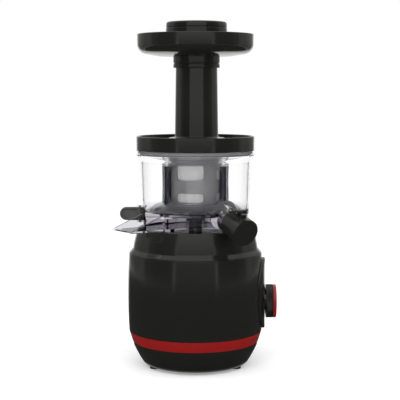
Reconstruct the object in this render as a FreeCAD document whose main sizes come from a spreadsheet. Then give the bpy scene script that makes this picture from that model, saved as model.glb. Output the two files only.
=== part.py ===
"""Cold press juicer: a slow auger juicer with a round motor base, a clear bowl, a lid with a
feed tube, a hopper tray and a pusher. Millimetres, +Z up, the origin under the middle of the
base at the height of the worktop, the juice spout to the front right (-Y, +X), the knob at +X."""
import FreeCAD, Part
import math
import os
from types import SimpleNamespace

import Sketcher
from FreeCAD import Rotation, Vector

DRIVING_SIZES = {
    # Motor base
    "foot_height": 3.0, "foot_radius": 6.5, "foot_circle": 55.0, "foot_angle": 27.0,
    "shell_wall": 3.0, "shell_bottom_radius": 61.0, "shell_top_radius": 77.0,
    "shell_flare_height": 21.0, "shell_flare_bulge": 150.0, "shell_height": 27.6,
    "ring_height": 13.2, "ring_top_radius": 81.6, "ring_width": 6.0,
    "barrel_height": 95.8, "barrel_top_radius": 81.4, "barrel_bulge": 690.0,
    "floor_thickness": 3.5, "boss_circle": 54.0, "boss_radius": 4.5, "screw_radius": 1.5,
    "vent_length": 20.0, "vent_width": 3.0, "vent_count": 12,
    "shoulder_rise": 5.8, "shoulder_radius": 76.5, "cover_height": 31.2,
    "deck_radius": 69.9, "deck_thickness": 4.0, "deck_recess": 1.5, "deck_recess_radius": 66.0,
    "spigot_depth": 8.0, "lip_clearance": 0.3,
    # Control panel and knob
    "panel_proud": 2.3, "panel_half_width": 34.0, "panel_height": 87.5, "panel_lift": 1.7,
    "knob_height": 78.5, "knob_radius": 20.5, "knob_gap": 0.8, "knob_depth": 9.0,
    "knob_ring_depth": 3.9, "knob_wall": 3.0, "knob_face_recess": 1.2, "knob_ring_width": 4.5,
    "spindle_radius": 3.0, "switch_radius": 10.0, "switch_depth": 9.0, "switch_bush_radius": 4.5,
    "switch_bush_length": 10.0, "nut_thickness": 2.5, "nut_width": 13.0,
    # Motor
    "motor_shaft_radius": 4.0, "pinion_seat_radius": 3.0, "rotor_radius": 21.6,
    "air_gap": 0.4, "stator_radius": 38.0, "stator_height": 28.0, "winding_height": 7.5,
    "winding_width": 12.0, "bracket_radius": 45.0, "bracket_thickness": 8.0,
    "bearing_radius": 11.0, "bearing_width": 6.0, "motor_bolt_circle": 41.5,
    "motor_bolt_radius": 2.0, "fan_radius": 34.0, "fan_height": 4.0, "fan_blades": 9,
    "bracket_clearance": 3.0,
    # Gearbox
    "plate_level": 82.0, "plate_radius": 66.0, "plate_thickness": 3.0, "gearbox_height": 31.0,
    "rib_width": 8.0, "rib_height": 10.0, "axle_radius": 3.0, "gear_play": 0.1, "run_gap": 0.05,
    "first_module": 1.0, "first_pinion_teeth": 12, "first_gear_teeth": 48,
    "second_module": 1.25, "second_pinion_teeth": 12, "second_gear_teeth": 40,
    "third_module": 1.5, "third_pinion_teeth": 12, "third_gear_teeth": 28,
    "gear_width": 5.5, "last_gear_width": 9.0, "gear_step": 3.0,
    "drive_radius": 6.5, "drive_shoulder": 9.0, "hex_width": 10.0, "hex_drop": 0.5,
    "post_circle": 61.0, "post_radius": 4.0,
    # Electrics in the base
    "board_length": 46.0, "board_width": 40.0, "board_thickness": 1.6, "board_lift": 4.0,
    "capacitor_radius": 11.0, "capacitor_length": 36.0,
    "gland_radius": 7.5, "gland_height": 62.0, "gland_bore": 3.6, "gland_flange": 2.5,
    "plunger_radius": 3.0, "plunger_circle": 46.0, "plunger_travel": 2.0, "plunger_length": 18.0,
    # Bowl
    "seat_gap": 0.3, "bowl_wall": 2.5, "bowl_foot_radius": 64.3, "bowl_low_height": 15.4,
    "bowl_low_radius": 65.2, "bowl_high_height": 80.2, "bowl_high_radius": 67.4,
    "bowl_rim_radius": 71.9, "bowl_rim_height": 89.1, "bowl_height": 95.0,
    "juice_floor": 21.0, "juice_floor_thickness": 2.5, "well_radius": 33.5, "well_floor": 3.5,
    "hub_radius": 12.0, "hub_height": 14.4, "hub_bore": 7.2, "seal_radius": 9.5,
    "seal_height": 5.0,
    "chute_angle": 214.0, "chute_reach": 103.0, "chute_half_width": 22.0, "chute_wall": 2.5, "chute_rise": 0.6,
    "chute_side_height": 18.5, "chute_lip_height": 4.0,
    "spout_angle": -58.0, "spout_slope": 19.0, "spout_root_height": 190.5,
    "spout_root_radius": 19.0, "spout_radius": 14.2, "spout_wall": 2.2, "spout_length": 39.5,
    "spout_cone": 20.0, "spout_inset": 3.0, "bore_radius": 8.0, "bore_lift": 3.4,
    "collar_length": 14.5, "collar_wall": 2.0, "collar_start": 21.0, "cap_length": 14.0,
    "cap_skirt_wall": 1.6, "cap_face": 2.5, "cap_hinge_lift": 18.6, "cap_hinge_back": 3.4,
    "hinge_pin_radius": 1.25, "hinge_width": 12.0, "hinge_knuckle": 2.6,
    "lever_length": 25.0, "lever_height": 16.4, "lever_thickness": 5.0, "lever_angle": 168.0,
    "lever_level": 177.2, "lever_pin_radius": 1.5, "lever_barrel": 3.8, "lever_offset": 5.0,
    "lug_thickness": 2.2,
    # Strainer, brush cage, auger
    "drum_radius": 34.0, "drum_wall": 2.2, "drum_floor": 2.0, "drum_bottom": 200.0,
    "drum_top": 247.0, "dish_mid_radius": 46.0, "dish_mid_height": 254.0, "dish_radius": 67.8,
    "dish_height": 259.9, "dish_wall": 2.0, "drum_hole": 16.5, "window_count": 8,
    "window_width": 19.0, "mesh_wall": 0.8, "mesh_land": 8.0,
    "cage_radius": 41.2, "cage_wall": 2.4, "cage_top": 249.0, "cage_bottom": 192.5,
    "cage_ring_height": 6.0, "cage_skirt_radius": 57.0, "cage_skirt_height": 10.0,
    "cage_skirt_bulge": 26.0, "cage_windows": 3, "cage_window_width": 46.0,
    "cage_window_margin": 7.0, "wiper_reach": 0.5, "wiper_thickness": 3.0,
    "brush_module": 1.25, "auger_teeth": 16, "idler_teeth": 16, "ring_teeth": 48,
    "idler_pin_radius": 2.5, "idler_angle": 60.0, "ring_rim": 3.5,
    "auger_radius": 30.6, "auger_core": 16.0, "auger_top": 256.0, "auger_nose": 9.0,
    "auger_pitch": 26.0, "auger_flight": 4.5, "auger_socket_depth": 21.0, "socket_gap": 0.15,
    # Lid, tray, pusher
    "lid_radius": 71.8, "lid_height": 17.0, "lid_rim": 2.3, "lid_dish_depth": 7.0,
    "lid_wall": 2.8, "lid_skirt_radius": 68.4, "lid_skirt_depth": 3.4, "lid_seal_radius": 69.1,
    "tube_offset": 1.4, "tube_base_radius": 26.5, "tube_top_radius": 25.0, "tube_bore": 22.6,
    "tube_top": 376.0, "tube_collar_radius": 36.0, "tube_collar_rise": 5.0,
    "tray_radius": 70.4, "tray_top": 404.7, "tray_wall": 2.5, "tray_wall_drop": 14.1,
    "tray_bottom": 378.4, "tray_corner_radius": 61.0, "tray_corner_bulge": 12.5,
    "tray_throat_radius": 44.0, "tray_collar_radius": 28.2, "tray_collar_bottom": 364.1,
    "pusher_radius": 37.1, "pusher_top": 419.3, "pusher_round": 2.6, "pusher_band": 7.7,
    "pusher_step": 0.5, "pusher_wall": 2.5, "pusher_stem_radius": 22.1, "pusher_bottom": 286.0,
}


class Size:
    """A length: its number, and the sheet expression that gives the same number."""

    def __init__(self, number, text):
        self.number = number
        self.text = text

    def __add__(self, other):
        return combine(self, "+", other, lambda a, b: a + b)

    def __radd__(self, other):
        return combine(other, "+", self, lambda a, b: a + b)

    def __sub__(self, other):
        return combine(self, "-", other, lambda a, b: a - b)

    def __rsub__(self, other):
        return combine(other, "-", self, lambda a, b: a - b)

    def __mul__(self, other):
        return combine(self, "*", other, lambda a, b: a * b)

    def __rmul__(self, other):
        return combine(other, "*", self, lambda a, b: a * b)

    def __truediv__(self, other):
        return combine(self, "/", other, lambda a, b: a / b)

    def __neg__(self):
        return Size(-self.number, "(0 - %s)" % self.text)


def size(value):
    """Any number as a Size."""
    return value if isinstance(value, Size) else Size(float(value), "%.6g" % value)


def combine(first, sign, second, rule):
    first, second = size(first), size(second)
    return Size(rule(first.number, second.number), "(%s %s %s)" % (first.text, sign, second.text))


def along(length, angle):
    """The X part of a length laid at an angle in degrees."""
    length, angle = size(length), size(angle)
    return Size(length.number * math.cos(math.radians(angle.number)),
                "(%s * cos(%s))" % (length.text, angle.text))


def aside(length, angle):
    """The Y part of a length laid at an angle in degrees."""
    length, angle = size(length), size(angle)
    return Size(length.number * math.sin(math.radians(angle.number)),
                "(%s * sin(%s))" % (length.text, angle.text))


doc = FreeCAD.newDocument("cold_press_juicer")
sheet = doc.addObject("Spreadsheet::Sheet", "Sizes")
S = SimpleNamespace()
for row, (alias, number) in enumerate(DRIVING_SIZES.items(), start=1):
    sheet.set("A%d" % row, alias.replace("_", " "))
    sheet.set("B%d" % row, str(number))
    sheet.setAlias("B%d" % row, alias)
    setattr(S, alias, Size(float(number), "Sizes.%s" % alias))
doc.recompute()

pieces = []


def bind(obj, name, value):
    """Binds one property of an object to its sheet expression."""
    obj.setExpression(name, size(value).text)


def put(obj, x=0, y=0, z=0, turn=None):
    """Places an object, with its position bound to the sheet."""
    if turn is not None:
        obj.Placement.Rotation = turn
    for axis, value in (("x", x), ("y", y), ("z", z)):
        bind(obj, "Placement.Base." + axis, value)
    return obj


def cylinder(name, radius, height, x=0, y=0, z=0, turn=None):
    obj = doc.addObject("Part::Cylinder", name)
    bind(obj, "Radius", radius)
    bind(obj, "Height", height)
    return put(obj, x, y, z, turn)


def cone(name, low_radius, high_radius, height, x=0, y=0, z=0, turn=None):
    obj = doc.addObject("Part::Cone", name)
    bind(obj, "Radius1", low_radius)
    bind(obj, "Radius2", high_radius)
    bind(obj, "Height", height)
    return put(obj, x, y, z, turn)


def block(name, length, width, height, x=0, y=0, z=0, turn=None):
    obj = doc.addObject("Part::Box", name)
    bind(obj, "Length", length)
    bind(obj, "Width", width)
    bind(obj, "Height", height)
    return put(obj, x, y, z, turn)


def prism(name, sides, circumradius, height, x=0, y=0, z=0, turn=None):
    obj = doc.addObject("Part::Prism", name)
    obj.Polygon = sides
    bind(obj, "Circumradius", circumradius)
    bind(obj, "Height", height)
    return put(obj, x, y, z, turn)


def fuse(name, *shapes):
    obj = doc.addObject("Part::MultiFuse", name)
    obj.Shapes = list(shapes)
    return obj


def cut(name, base, *tools):
    obj = doc.addObject("Part::Cut", name)
    obj.Base = base
    obj.Tool = tools[0] if len(tools) == 1 else fuse(name + "_tools", *tools)
    return obj


def common(name, *shapes):
    obj = doc.addObject("Part::MultiCommon", name)
    obj.Shapes = list(shapes)
    return obj


def group(name, members):
    obj = doc.addObject("Part::Compound", name)
    obj.Links = list(members)
    return obj


def piece(obj, label):
    """Names a finished piece and puts it on the list that is written out."""
    obj.Label = label
    pieces.append(obj)
    return obj


def arc_middle(start, end, radius):
    """The point half way along an arc that bulges to the left of start to end."""
    chord = end - start
    half = chord.Length / 2
    rise = abs(radius) - math.sqrt(max(radius * radius - half * half, 0.0))
    left = Vector(-chord.y, chord.x, 0).normalize()
    return (start + end) * 0.5 + left * rise * (1 if radius > 0 else -1)


def draw(sketch, outline):
    """Draws a closed outline of (x, y) corners; (x, y, r) reaches its corner by an arc of
    radius r, which bulges to the left of the way there, or to the right if r is negative."""
    corners = [Vector(size(c[0]).number, size(c[1]).number, 0) for c in outline]
    ends = []
    for index, corner in enumerate(outline):
        start = corners[index - 1]
        end = corners[index]
        if len(corner) == 3:
            bulge = size(corner[2])
            curve = Part.Arc(start, arc_middle(start, end, bulge.number), end)
            edge = sketch.addGeometry(curve, False)
            rule = sketch.addConstraint(Sketcher.Constraint("Radius", edge, abs(bulge.number)))
            sketch.renameConstraint(rule, "radius_%d" % index)
            sketch.setExpression("Constraints.radius_%d" % index, "abs(%s)" % bulge.text)
        else:
            edge = sketch.addGeometry(Part.LineSegment(start, end), False)
        first, last = 1, 2
        if sketch.getPoint(edge, 1).distanceToPoint(start) > sketch.getPoint(edge, 2).distanceToPoint(start):
            first, last = 2, 1
        ends.append((edge, first, last))
    for index, corner in enumerate(outline):
        edge, first, last = ends[index]
        following, beginning, _ = ends[(index + 1) % len(outline)]
        sketch.addConstraint(Sketcher.Constraint("Coincident", edge, last, following, beginning))
        for letter, axis, rule_name, value in (("x", -2, "DistanceX", corner[0]),
                                               ("y", -1, "DistanceY", corner[1])):
            value = size(value)
            if abs(value.number) < 1e-9:
                sketch.addConstraint(Sketcher.Constraint("PointOnObject", edge, last, axis))
                continue
            rule = sketch.addConstraint(
                Sketcher.Constraint(rule_name, -1, 1, edge, last, value.number))
            label = "%s_%d" % (letter, index)
            sketch.renameConstraint(rule, label)
            sketch.setExpression("Constraints." + label, value.text)


def sketch_on(body, role, name, outline):
    sketch = body.newObject("Sketcher::SketchObject", name)
    plane = [item for item in body.Origin.OriginFeatures if item.Role == role][0]
    sketch.AttachmentSupport = (plane, [""])
    sketch.MapMode = "FlatFace"
    draw(sketch, outline)
    return sketch


def round_edges(body, sketch, rounds):
    """Rounds the circular edges that the outline's numbered corners turned into."""
    doc.recompute()
    for radius, numbers in rounds:
        base = body.Tip
        spots = [sketch_corner(sketch, number) for number in numbers]
        names = []
        for index, edge in enumerate(base.Shape.Edges, start=1):
            if not isinstance(edge.Curve, Part.Circle):
                continue
            for x, z in spots:
                near = abs(edge.Curve.Radius - x) < 1e-4 and abs(edge.Curve.Center.z - z) < 1e-4
                if near and "Edge%d" % index not in names:
                    names.append("Edge%d" % index)
        fillet = body.newObject("PartDesign::Fillet", body.Name + "_round")
        fillet.Base = (base, names)
        bind(fillet, "Radius", radius)
        doc.recompute()


def sketch_corner(sketch, number):
    x_rule = [c for c in sketch.Constraints if c.Name == "x_%d" % number][0]
    y_rule = [c for c in sketch.Constraints if c.Name == "y_%d" % number][0]
    return x_rule.Value, y_rule.Value


def turned(name, outline, rounds=()):
    """A piece turned about Z from an outline of (radius, height) corners."""
    body = doc.addObject("PartDesign::Body", name)
    sketch = sketch_on(body, "XZ_Plane", name + "_outline", outline)
    spin = body.newObject("PartDesign::Revolution", name + "_turned")
    spin.Profile = sketch
    spin.ReferenceAxis = (sketch, ["V_Axis"])
    spin.Angle = 360
    if rounds:
        round_edges(body, sketch, rounds)
    return body


def ring(name, outer, inner, low, height):
    """A plain ring about Z, from its two radii, its lower level and its height."""
    return turned(name, [(inner, low), (outer, low), (outer, low + height), (inner, low + height)])


def polar(count, first=0.0):
    """The angles of a number of places spread evenly about Z."""
    return [first + 360.0 * index / count for index in range(count)]


def about_z(angle):
    return Rotation(Vector(0, 0, 1), angle)


def bar(name, start, length, width, low, height, angle):
    """A bar of even width that runs outwards from the axis at an angle."""
    angle = size(angle)
    spot_x = along(start, angle) + aside(width / 2, angle)
    spot_y = aside(start, angle) - along(width / 2, angle)
    return block(name, length, width, height, spot_x, spot_y, low, about_z(angle.number))


def tooth_line(teeth, module, thinning, addendum, dedendum):
    """The corners of a gear outline: facetted involute flanks of 20 degrees, radial below."""
    pitch = teeth * module / 2
    base = pitch * math.cos(math.radians(20))
    root = pitch - dedendum * module
    tip = pitch + addendum * module
    start = math.tan(math.radians(20)) - math.radians(20)
    half = math.pi / (2 * teeth) - thinning / (2 * pitch) + start
    flank = []
    lowest = max(base, root)
    for step in range(5):
        radius = lowest + (tip - lowest) * step / 4
        pressure = math.acos(min(1.0, base / radius))
        flank.append((radius, half - (math.tan(pressure) - pressure)))
    if root < base:
        flank.insert(0, (root, flank[0][1]))
    corners = []
    for tooth in range(teeth):
        centre = 2 * math.pi * tooth / teeth
        for radius, angle in flank:
            corners.append((radius, centre - angle))
        for radius, angle in reversed(flank):
            corners.append((radius, centre + angle))
    return corners


def toothed(teeth, module, width, low, turn, thinning, addendum=1.0, dedendum=1.25):
    """A toothed disc about Z, with one tooth at the angle turn."""
    corners = tooth_line(teeth, module, thinning, addendum, dedendum)
    shift = math.radians(turn)
    points = [Vector(r * math.cos(a + shift), r * math.sin(a + shift), low) for r, a in corners]
    face = Part.Face(Part.makePolygon(points + [points[0]]))
    return face.extrude(Vector(0, 0, width))


def rod(radius, height, low):
    return Part.makeCylinder(radius, height, Vector(0, 0, low))


def made(name, shape, x=0, y=0):
    """A piece whose shape is worked out here, then placed."""
    obj = doc.addObject("Part::Feature", name)
    obj.Shape = shape
    return put(obj, x, y, 0)


# Levels that several pieces share
shell_low = S.foot_height
shell_top = shell_low + S.shell_height
ring_top = shell_top + S.ring_height
barrel_top = ring_top + S.barrel_height
deck_top = barrel_top + S.cover_height
recess_level = deck_top - S.deck_recess
bowl_low = recess_level + S.seat_gap
bowl_top = bowl_low + S.bowl_height
lid_low = bowl_top + S.seat_gap
lid_top = lid_low + S.lid_height
barrel_radius = S.barrel_top_radius

# Base: four rubber feet under the bottom shell
feet = []
for number, angle in enumerate((S.foot_angle, 180 - S.foot_angle, 180 + S.foot_angle, 360 - S.foot_angle)):
    feet.append(cylinder("foot_%d" % number, S.foot_radius, S.foot_height,
                         along(S.foot_circle, angle), aside(S.foot_circle, angle), 0))
piece(group("feet_group", feet), "rubber_feet")

# Bottom shell: a flared cup with a vented floor and four hollow screw bosses
flare_low = shell_low + 2
flare_top = flare_low + S.shell_flare_height
shell_cup = turned("shell_cup", [
    (0, shell_low),
    (S.shell_bottom_radius, shell_low),
    (S.shell_bottom_radius + 3.6, flare_low, -6),
    (S.shell_top_radius - 1.0, flare_top, -S.shell_flare_bulge),
    (S.shell_top_radius, shell_top),
    (S.shell_top_radius - S.shell_wall, shell_top),
    (S.shell_top_radius - S.shell_wall - 1.0, flare_top),
    (S.shell_bottom_radius, shell_low + S.floor_thickness),
    (0, shell_low + S.floor_thickness)])
screw_angles = (62.0, 118.0, 242.0, 298.0)
screw_spots = [(along(S.boss_circle, angle), aside(S.boss_circle, angle)) for angle in screw_angles]
shell_bosses = [cylinder("shell_boss_%d" % n, S.boss_radius, ring_top - shell_low, x, y, shell_low)
                for n, (x, y) in enumerate(screw_spots)]
screw_holes = [cylinder("shell_hole_%d" % n, S.screw_radius, ring_top - shell_low + 2, x, y, shell_low - 1)
               for n, (x, y) in enumerate(screw_spots)]
head_radius = S.screw_radius * 1.9
head_depth = 2.2
head_holes = [cylinder("head_hole_%d" % n, head_radius + 0.1, head_depth + 1, x, y, shell_low - 1)
              for n, (x, y) in enumerate(screw_spots)]
vent_angles = [a for a in polar(12) if min(abs(a - s) for s in screw_angles) > 3]
vents = [bar("vent_%d" % n, 24.0, S.vent_length, S.vent_width, shell_low - 1, S.floor_thickness + 2, a)
         for n, a in enumerate(vent_angles)]
piece(cut("shell_cut", fuse("shell_solid", shell_cup, *shell_bosses), *screw_holes, *head_holes, *vents),
      "bottom_shell")

# Red trim ring between the bottom shell and the barrel
piece(turned("trim", [
    (S.shell_top_radius - S.ring_width, shell_top),
    (S.shell_top_radius + 0.3, shell_top),
    (S.ring_top_radius, ring_top),
    (S.shell_top_radius - S.ring_width, ring_top)]), "red_trim_ring")

# Barrel of the motor housing, with its screw flange, gearbox ribs and the raised panel
inner = barrel_radius - S.shell_wall
barrel = turned("barrel", [
    (inner, ring_top),
    (S.ring_top_radius, ring_top),
    (barrel_radius, barrel_top, S.barrel_bulge * -1),
    (inner, barrel_top)])
flange_inner = S.bracket_radius + 4
flange = ring("barrel_flange", inner + 1, flange_inner, ring_top, S.floor_thickness)
ribs = [bar("rib_%d" % n, S.plate_radius - 6, inner + 1.5 - (S.plate_radius - 6), S.rib_width,
            S.plate_level - S.rib_height, S.rib_height, a) for n, a in enumerate((45.0, 135.0, 225.0, 315.0))]
panel_low = ring_top + S.panel_lift
panel_radius = barrel_radius + 1.8 + S.panel_proud
along_x = Rotation(Vector(0, 1, 0), 90)
oval = fuse("panel_oval",
            cylinder("panel_low_end", S.panel_half_width, 60, 40, 0, panel_low + S.panel_half_width, along_x),
            cylinder("panel_top_end", S.panel_half_width, 60, 40, 0,
                     panel_low + S.panel_height - S.panel_half_width, along_x),
            block("panel_middle", 60, S.panel_half_width * 2, S.panel_height - S.panel_half_width * 2,
                  40, -S.panel_half_width, panel_low + S.panel_half_width))
panel = common("panel", oval, ring("panel_sleeve", panel_radius, inner + 0.6, panel_low, S.panel_height))
bush_hole = cylinder("bush_hole", S.switch_bush_radius + 0.1, 30, inner - 15, 0, S.knob_height, along_x)
along_y = Rotation(Vector(1, 0, 0), -90)
gland_hole = cylinder("gland_hole", S.gland_radius + 0.1, 30, 0, inner - 15, S.gland_height, along_y)
flange_holes = [cylinder("flange_hole_%d" % n, S.screw_radius, S.floor_thickness + 2, x, y, ring_top - 1)
                for n, (x, y) in enumerate(screw_spots)]
piece(cut("housing_cut", fuse("housing_solid", barrel, flange, panel, *ribs), bush_hole, gland_hole,
          *flange_holes), "motor_housing")

# Screws that hold the bottom shell to the barrel
base_screws = [fuse("base_screw_%d" % n,
                    cylinder("screw_head_%d" % n, head_radius, head_depth, x, y, shell_low),
                    cylinder("screw_shank_%d" % n, S.screw_radius, ring_top + S.floor_thickness - shell_low,
                             x, y, shell_low))
               for n, (x, y) in enumerate(screw_spots)]
piece(group("base_screw_group", base_screws), "base_screws")

# Top cover: the rounded shoulder and the deck that the bowl stands on
spigot_radius = inner - S.lip_clearance
cover_wall = S.shell_wall
shoulder_level = barrel_top + S.shoulder_rise
cover = turned("cover_shell", [
    (S.drive_shoulder + 3, recess_level),
    (S.deck_recess_radius, recess_level),
    (S.deck_recess_radius, deck_top),
    (S.deck_radius, deck_top),
    (S.shoulder_radius, shoulder_level, -120),
    (barrel_radius, barrel_top),
    (spigot_radius, barrel_top),
    (spigot_radius, barrel_top - S.spigot_depth),
    (spigot_radius - cover_wall, barrel_top - S.spigot_depth),
    (spigot_radius - cover_wall, barrel_top),
    (S.shoulder_radius - cover_wall, shoulder_level),
    (S.deck_radius - cover_wall - 1, deck_top - S.deck_thickness - S.deck_recess),
    (S.drive_shoulder + 3, deck_top - S.deck_thickness - S.deck_recess)])
deck_low = deck_top - S.deck_thickness - S.deck_recess
seal_boss = ring("deck_boss", S.drive_shoulder + 6, S.drive_shoulder + 3, deck_low - 4, 5)
plunger_bore = cylinder("plunger_bore", S.plunger_radius + S.run_gap, 20, 0, S.plunger_circle, deck_low - 5)
switch_width = size(16.0)
switch_top = recess_level - S.plunger_length - S.plunger_travel - 0.3
switch_high = size(9.0)
hanger_height = deck_low - switch_top + switch_high
hangers = [block("hanger_%d" % n, 3, 8, hanger_height + 0.5, x, S.plunger_circle - 4, switch_top - switch_high)
           for n, x in enumerate((switch_width / 2, -(switch_width / 2) - 3))]
piece(cut("cover_cut", fuse("cover_solid", cover, seal_boss, *hangers), plunger_bore), "top_cover")

# Bowl interlock: the bowl holds a plunger down on a small switch
piece(cylinder("plunger", S.plunger_radius, S.plunger_length, 0, S.plunger_circle,
               recess_level - S.plunger_length), "interlock_plunger")
piece(block("bowl_switch", switch_width, 8, switch_high, switch_width * -0.5, S.plunger_circle - 4,
            switch_top - switch_high), "interlock_switch")

# Control knob: red ring, spindle, rotary switch and its nut
panel_face = panel_radius
knob_low = panel_face + S.knob_gap
knob_top = knob_low + S.knob_depth
face_level = knob_top + S.knob_ring_depth
hub_radius = S.spindle_radius + 4


def on_x(body):
    """Turns a piece made about Z so that it points along +X at the knob's height."""
    return put(body, 0, 0, S.knob_height, along_x)


knob_bore_top = knob_top
piece(on_x(turned("knob_body", [
    (S.knob_radius - S.knob_wall, knob_low),
    (S.knob_radius, knob_low),
    (S.knob_radius, knob_top),
    (S.knob_radius - S.knob_ring_width, knob_top),
    (S.knob_radius - S.knob_ring_width, face_level - S.knob_face_recess),
    (0, face_level - S.knob_face_recess),
    (0, knob_bore_top),
    (S.spindle_radius, knob_bore_top),
    (S.spindle_radius, knob_low + S.nut_thickness + 1),
    (hub_radius, knob_low + S.nut_thickness + 1),
    (hub_radius, knob_top - S.knob_wall),
    (S.knob_radius - S.knob_wall, knob_top - S.knob_wall)])), "control_knob")
piece(on_x(turned("knob_red", [
    (S.knob_radius - S.knob_ring_width, knob_top),
    (S.knob_radius, knob_top),
    (S.knob_radius, face_level - 1.2),
    (S.knob_radius - 1.2, face_level, 1.2),
    (S.knob_radius - S.knob_ring_width, face_level)])), "knob_ring")
switch_face = inner - 1.3
bush_end = switch_face + S.switch_bush_length
piece(on_x(turned("spindle", [
    (0, switch_face - S.switch_depth + 2),
    (S.spindle_radius, switch_face - S.switch_depth + 2),
    (S.spindle_radius, knob_bore_top),
    (0, knob_bore_top)])), "knob_spindle")
piece(on_x(turned("selector", [
    (0, switch_face - S.switch_depth),
    (S.switch_radius, switch_face - S.switch_depth),
    (S.switch_radius, switch_face),
    (S.switch_bush_radius, switch_face),
    (S.switch_bush_radius, bush_end),
    (S.spindle_radius + S.run_gap, bush_end),
    (S.spindle_radius + S.run_gap, switch_face - S.switch_depth + 1.9),
    (0, switch_face - S.switch_depth + 1.9)])), "rotary_switch")
piece(cut("nut_cut",
          prism("nut_hex", 6, S.nut_width / 1.732, S.nut_thickness, panel_face + 0.1, 0, S.knob_height, along_x),
          cylinder("nut_bore", S.switch_bush_radius, 20, panel_face - 5, 0, S.knob_height, along_x)),
      "switch_nut")

# Gearbox: two plates on four posts, carried by the ribs of the barrel
plate_top = S.plate_level + S.plate_thickness
cover_plate = plate_top + S.gearbox_height
first_distance = (S.first_pinion_teeth + S.first_gear_teeth) * S.first_module / 2 + S.gear_play
second_distance = (S.second_pinion_teeth + S.second_gear_teeth) * S.second_module / 2 + S.gear_play
third_distance = (S.third_pinion_teeth + S.third_gear_teeth) * S.third_module / 2 + S.gear_play
first_angle = 90.0
cosine = ((first_distance.number ** 2 + third_distance.number ** 2 - second_distance.number ** 2)
          / (2 * first_distance.number * third_distance.number))
last_angle = first_angle + math.degrees(math.acos(cosine))
first_x, first_y = along(first_distance, first_angle), aside(first_distance, first_angle)
last_x, last_y = along(third_distance, last_angle), aside(third_distance, last_angle)
post_spots = [(along(S.post_circle, a), aside(S.post_circle, a)) for a in (15.0, 165.0, 225.0, 315.0)]
bolt_spots = [(along(S.motor_bolt_circle, a), aside(S.motor_bolt_circle, a)) for a in polar(4, 45.0)]
lower_holes = [cylinder("axle_hole_low_%d" % n, S.axle_radius, 6, x, y, S.plate_level - 1)
               for n, (x, y) in enumerate(((first_x, first_y), (last_x, last_y)))]
bolt_holes = [cylinder("plate_bolt_hole_%d" % n, S.motor_bolt_radius, 6, x, y, S.plate_level - 1)
              for n, (x, y) in enumerate(bolt_spots)]
shaft_hole = cylinder("plate_shaft_hole", S.motor_shaft_radius + 1, 6, 0, 0, S.plate_level - 1)
piece(cut("gear_plate_cut",
          cylinder("gear_plate_disc", S.plate_radius, S.plate_thickness, 0, 0, S.plate_level),
          shaft_hole, *lower_holes, *bolt_holes), "gearbox_base_plate")
upper_holes = [cylinder("axle_hole_top_%d" % n, S.axle_radius, 6, x, y, cover_plate - 1)
               for n, (x, y) in enumerate(((first_x, first_y), (last_x, last_y)))]
bearing_seat = cylinder("bearing_seat", S.bearing_radius + 2, 8, 0, 0, cover_plate - 1)
piece(cut("cover_plate_cut",
          cylinder("cover_plate_disc", S.plate_radius, S.plate_thickness + 2, 0, 0, cover_plate),
          bearing_seat, *upper_holes), "gearbox_cover_plate")
piece(group("post_group", [cylinder("post_%d" % n, S.post_radius, S.gearbox_height, x, y, plate_top)
                           for n, (x, y) in enumerate(post_spots)]), "gearbox_posts")
axle_length = S.gearbox_height + S.plate_thickness * 2 + 2
piece(cylinder("axle_one", S.axle_radius, axle_length, first_x, first_y, S.plate_level), "first_gear_axle")
piece(cylinder("axle_two", S.axle_radius, axle_length, last_x, last_y, S.plate_level), "second_gear_axle")

# Reduction gears from the motor pinion to the drive shaft
level_one = (plate_top + 1.5).number
level_two = level_one + S.gear_width.number + S.gear_step.number
level_three = level_two + S.gear_width.number + S.gear_step.number
thin = S.gear_play.number
bore = S.axle_radius.number + S.run_gap.number
between = math.degrees(math.atan2(last_y.number - first_y.number, last_x.number - first_x.number))
wheel_tip = 0.75


def pinion_and_wheel(wheel, pinion, low, wheel_top, high):
    """A wheel with a smaller pinion on its upper face and one bore through both."""
    hub = rod(bore + 2.0, wheel_top - low, low)
    solid = wheel.fuse([pinion, hub]).removeSplitter()
    return solid.cut(rod(bore, high - low + 2, low - 1))


count = {name: int(DRIVING_SIZES[name]) for name in DRIVING_SIZES if name.endswith("_teeth")}
motor_pinion = toothed(count["first_pinion_teeth"], S.first_module.number, S.gear_width.number + 1,
                       level_one - 0.5, first_angle, thin)
motor_pinion = motor_pinion.cut(rod(S.pinion_seat_radius.number, 40, level_one - 10))
piece(made("motor_pinion_gear", motor_pinion), "motor_pinion")
first_wheel = toothed(count["first_gear_teeth"], S.first_module.number, S.gear_width.number, level_one,
                      first_angle + 180 + 180 / count["first_gear_teeth"], thin, wheel_tip)
first_high = level_two + S.gear_width.number + 1.0
first_pinion = toothed(count["second_pinion_teeth"], S.second_module.number,
                       first_high - level_one - S.gear_width.number, level_one + S.gear_width.number,
                       between, thin)
piece(made("first_gear", pinion_and_wheel(first_wheel, first_pinion, level_one - 1.2, level_one + 1, first_high),
           first_x, first_y), "first_reduction_gear")
second_wheel = toothed(count["second_gear_teeth"], S.second_module.number, S.gear_width.number, level_two,
                       between + 180 + 180 / count["second_gear_teeth"], thin, wheel_tip)
second_high = level_three + S.last_gear_width.number + 0.5
second_pinion = toothed(count["third_pinion_teeth"], S.third_module.number,
                        second_high - level_two - S.gear_width.number, level_two + S.gear_width.number,
                        last_angle + 180, thin)
piece(made("second_gear",
           pinion_and_wheel(second_wheel, second_pinion, level_one - 1.2, level_two + 1, second_high),
           last_x, last_y), "second_reduction_gear")
output_wheel = toothed(count["third_gear_teeth"], S.third_module.number, S.last_gear_width.number, level_three,
                       last_angle + 180 / count["third_gear_teeth"], thin, wheel_tip)
output_wheel = output_wheel.fuse(rod(S.drive_shoulder.number + 3, S.last_gear_width.number + 1.5, level_three))
output_wheel = output_wheel.cut(rod(S.drive_shoulder.number, 40, level_three - 10))
piece(made("output_wheel", output_wheel), "output_gear")

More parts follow.
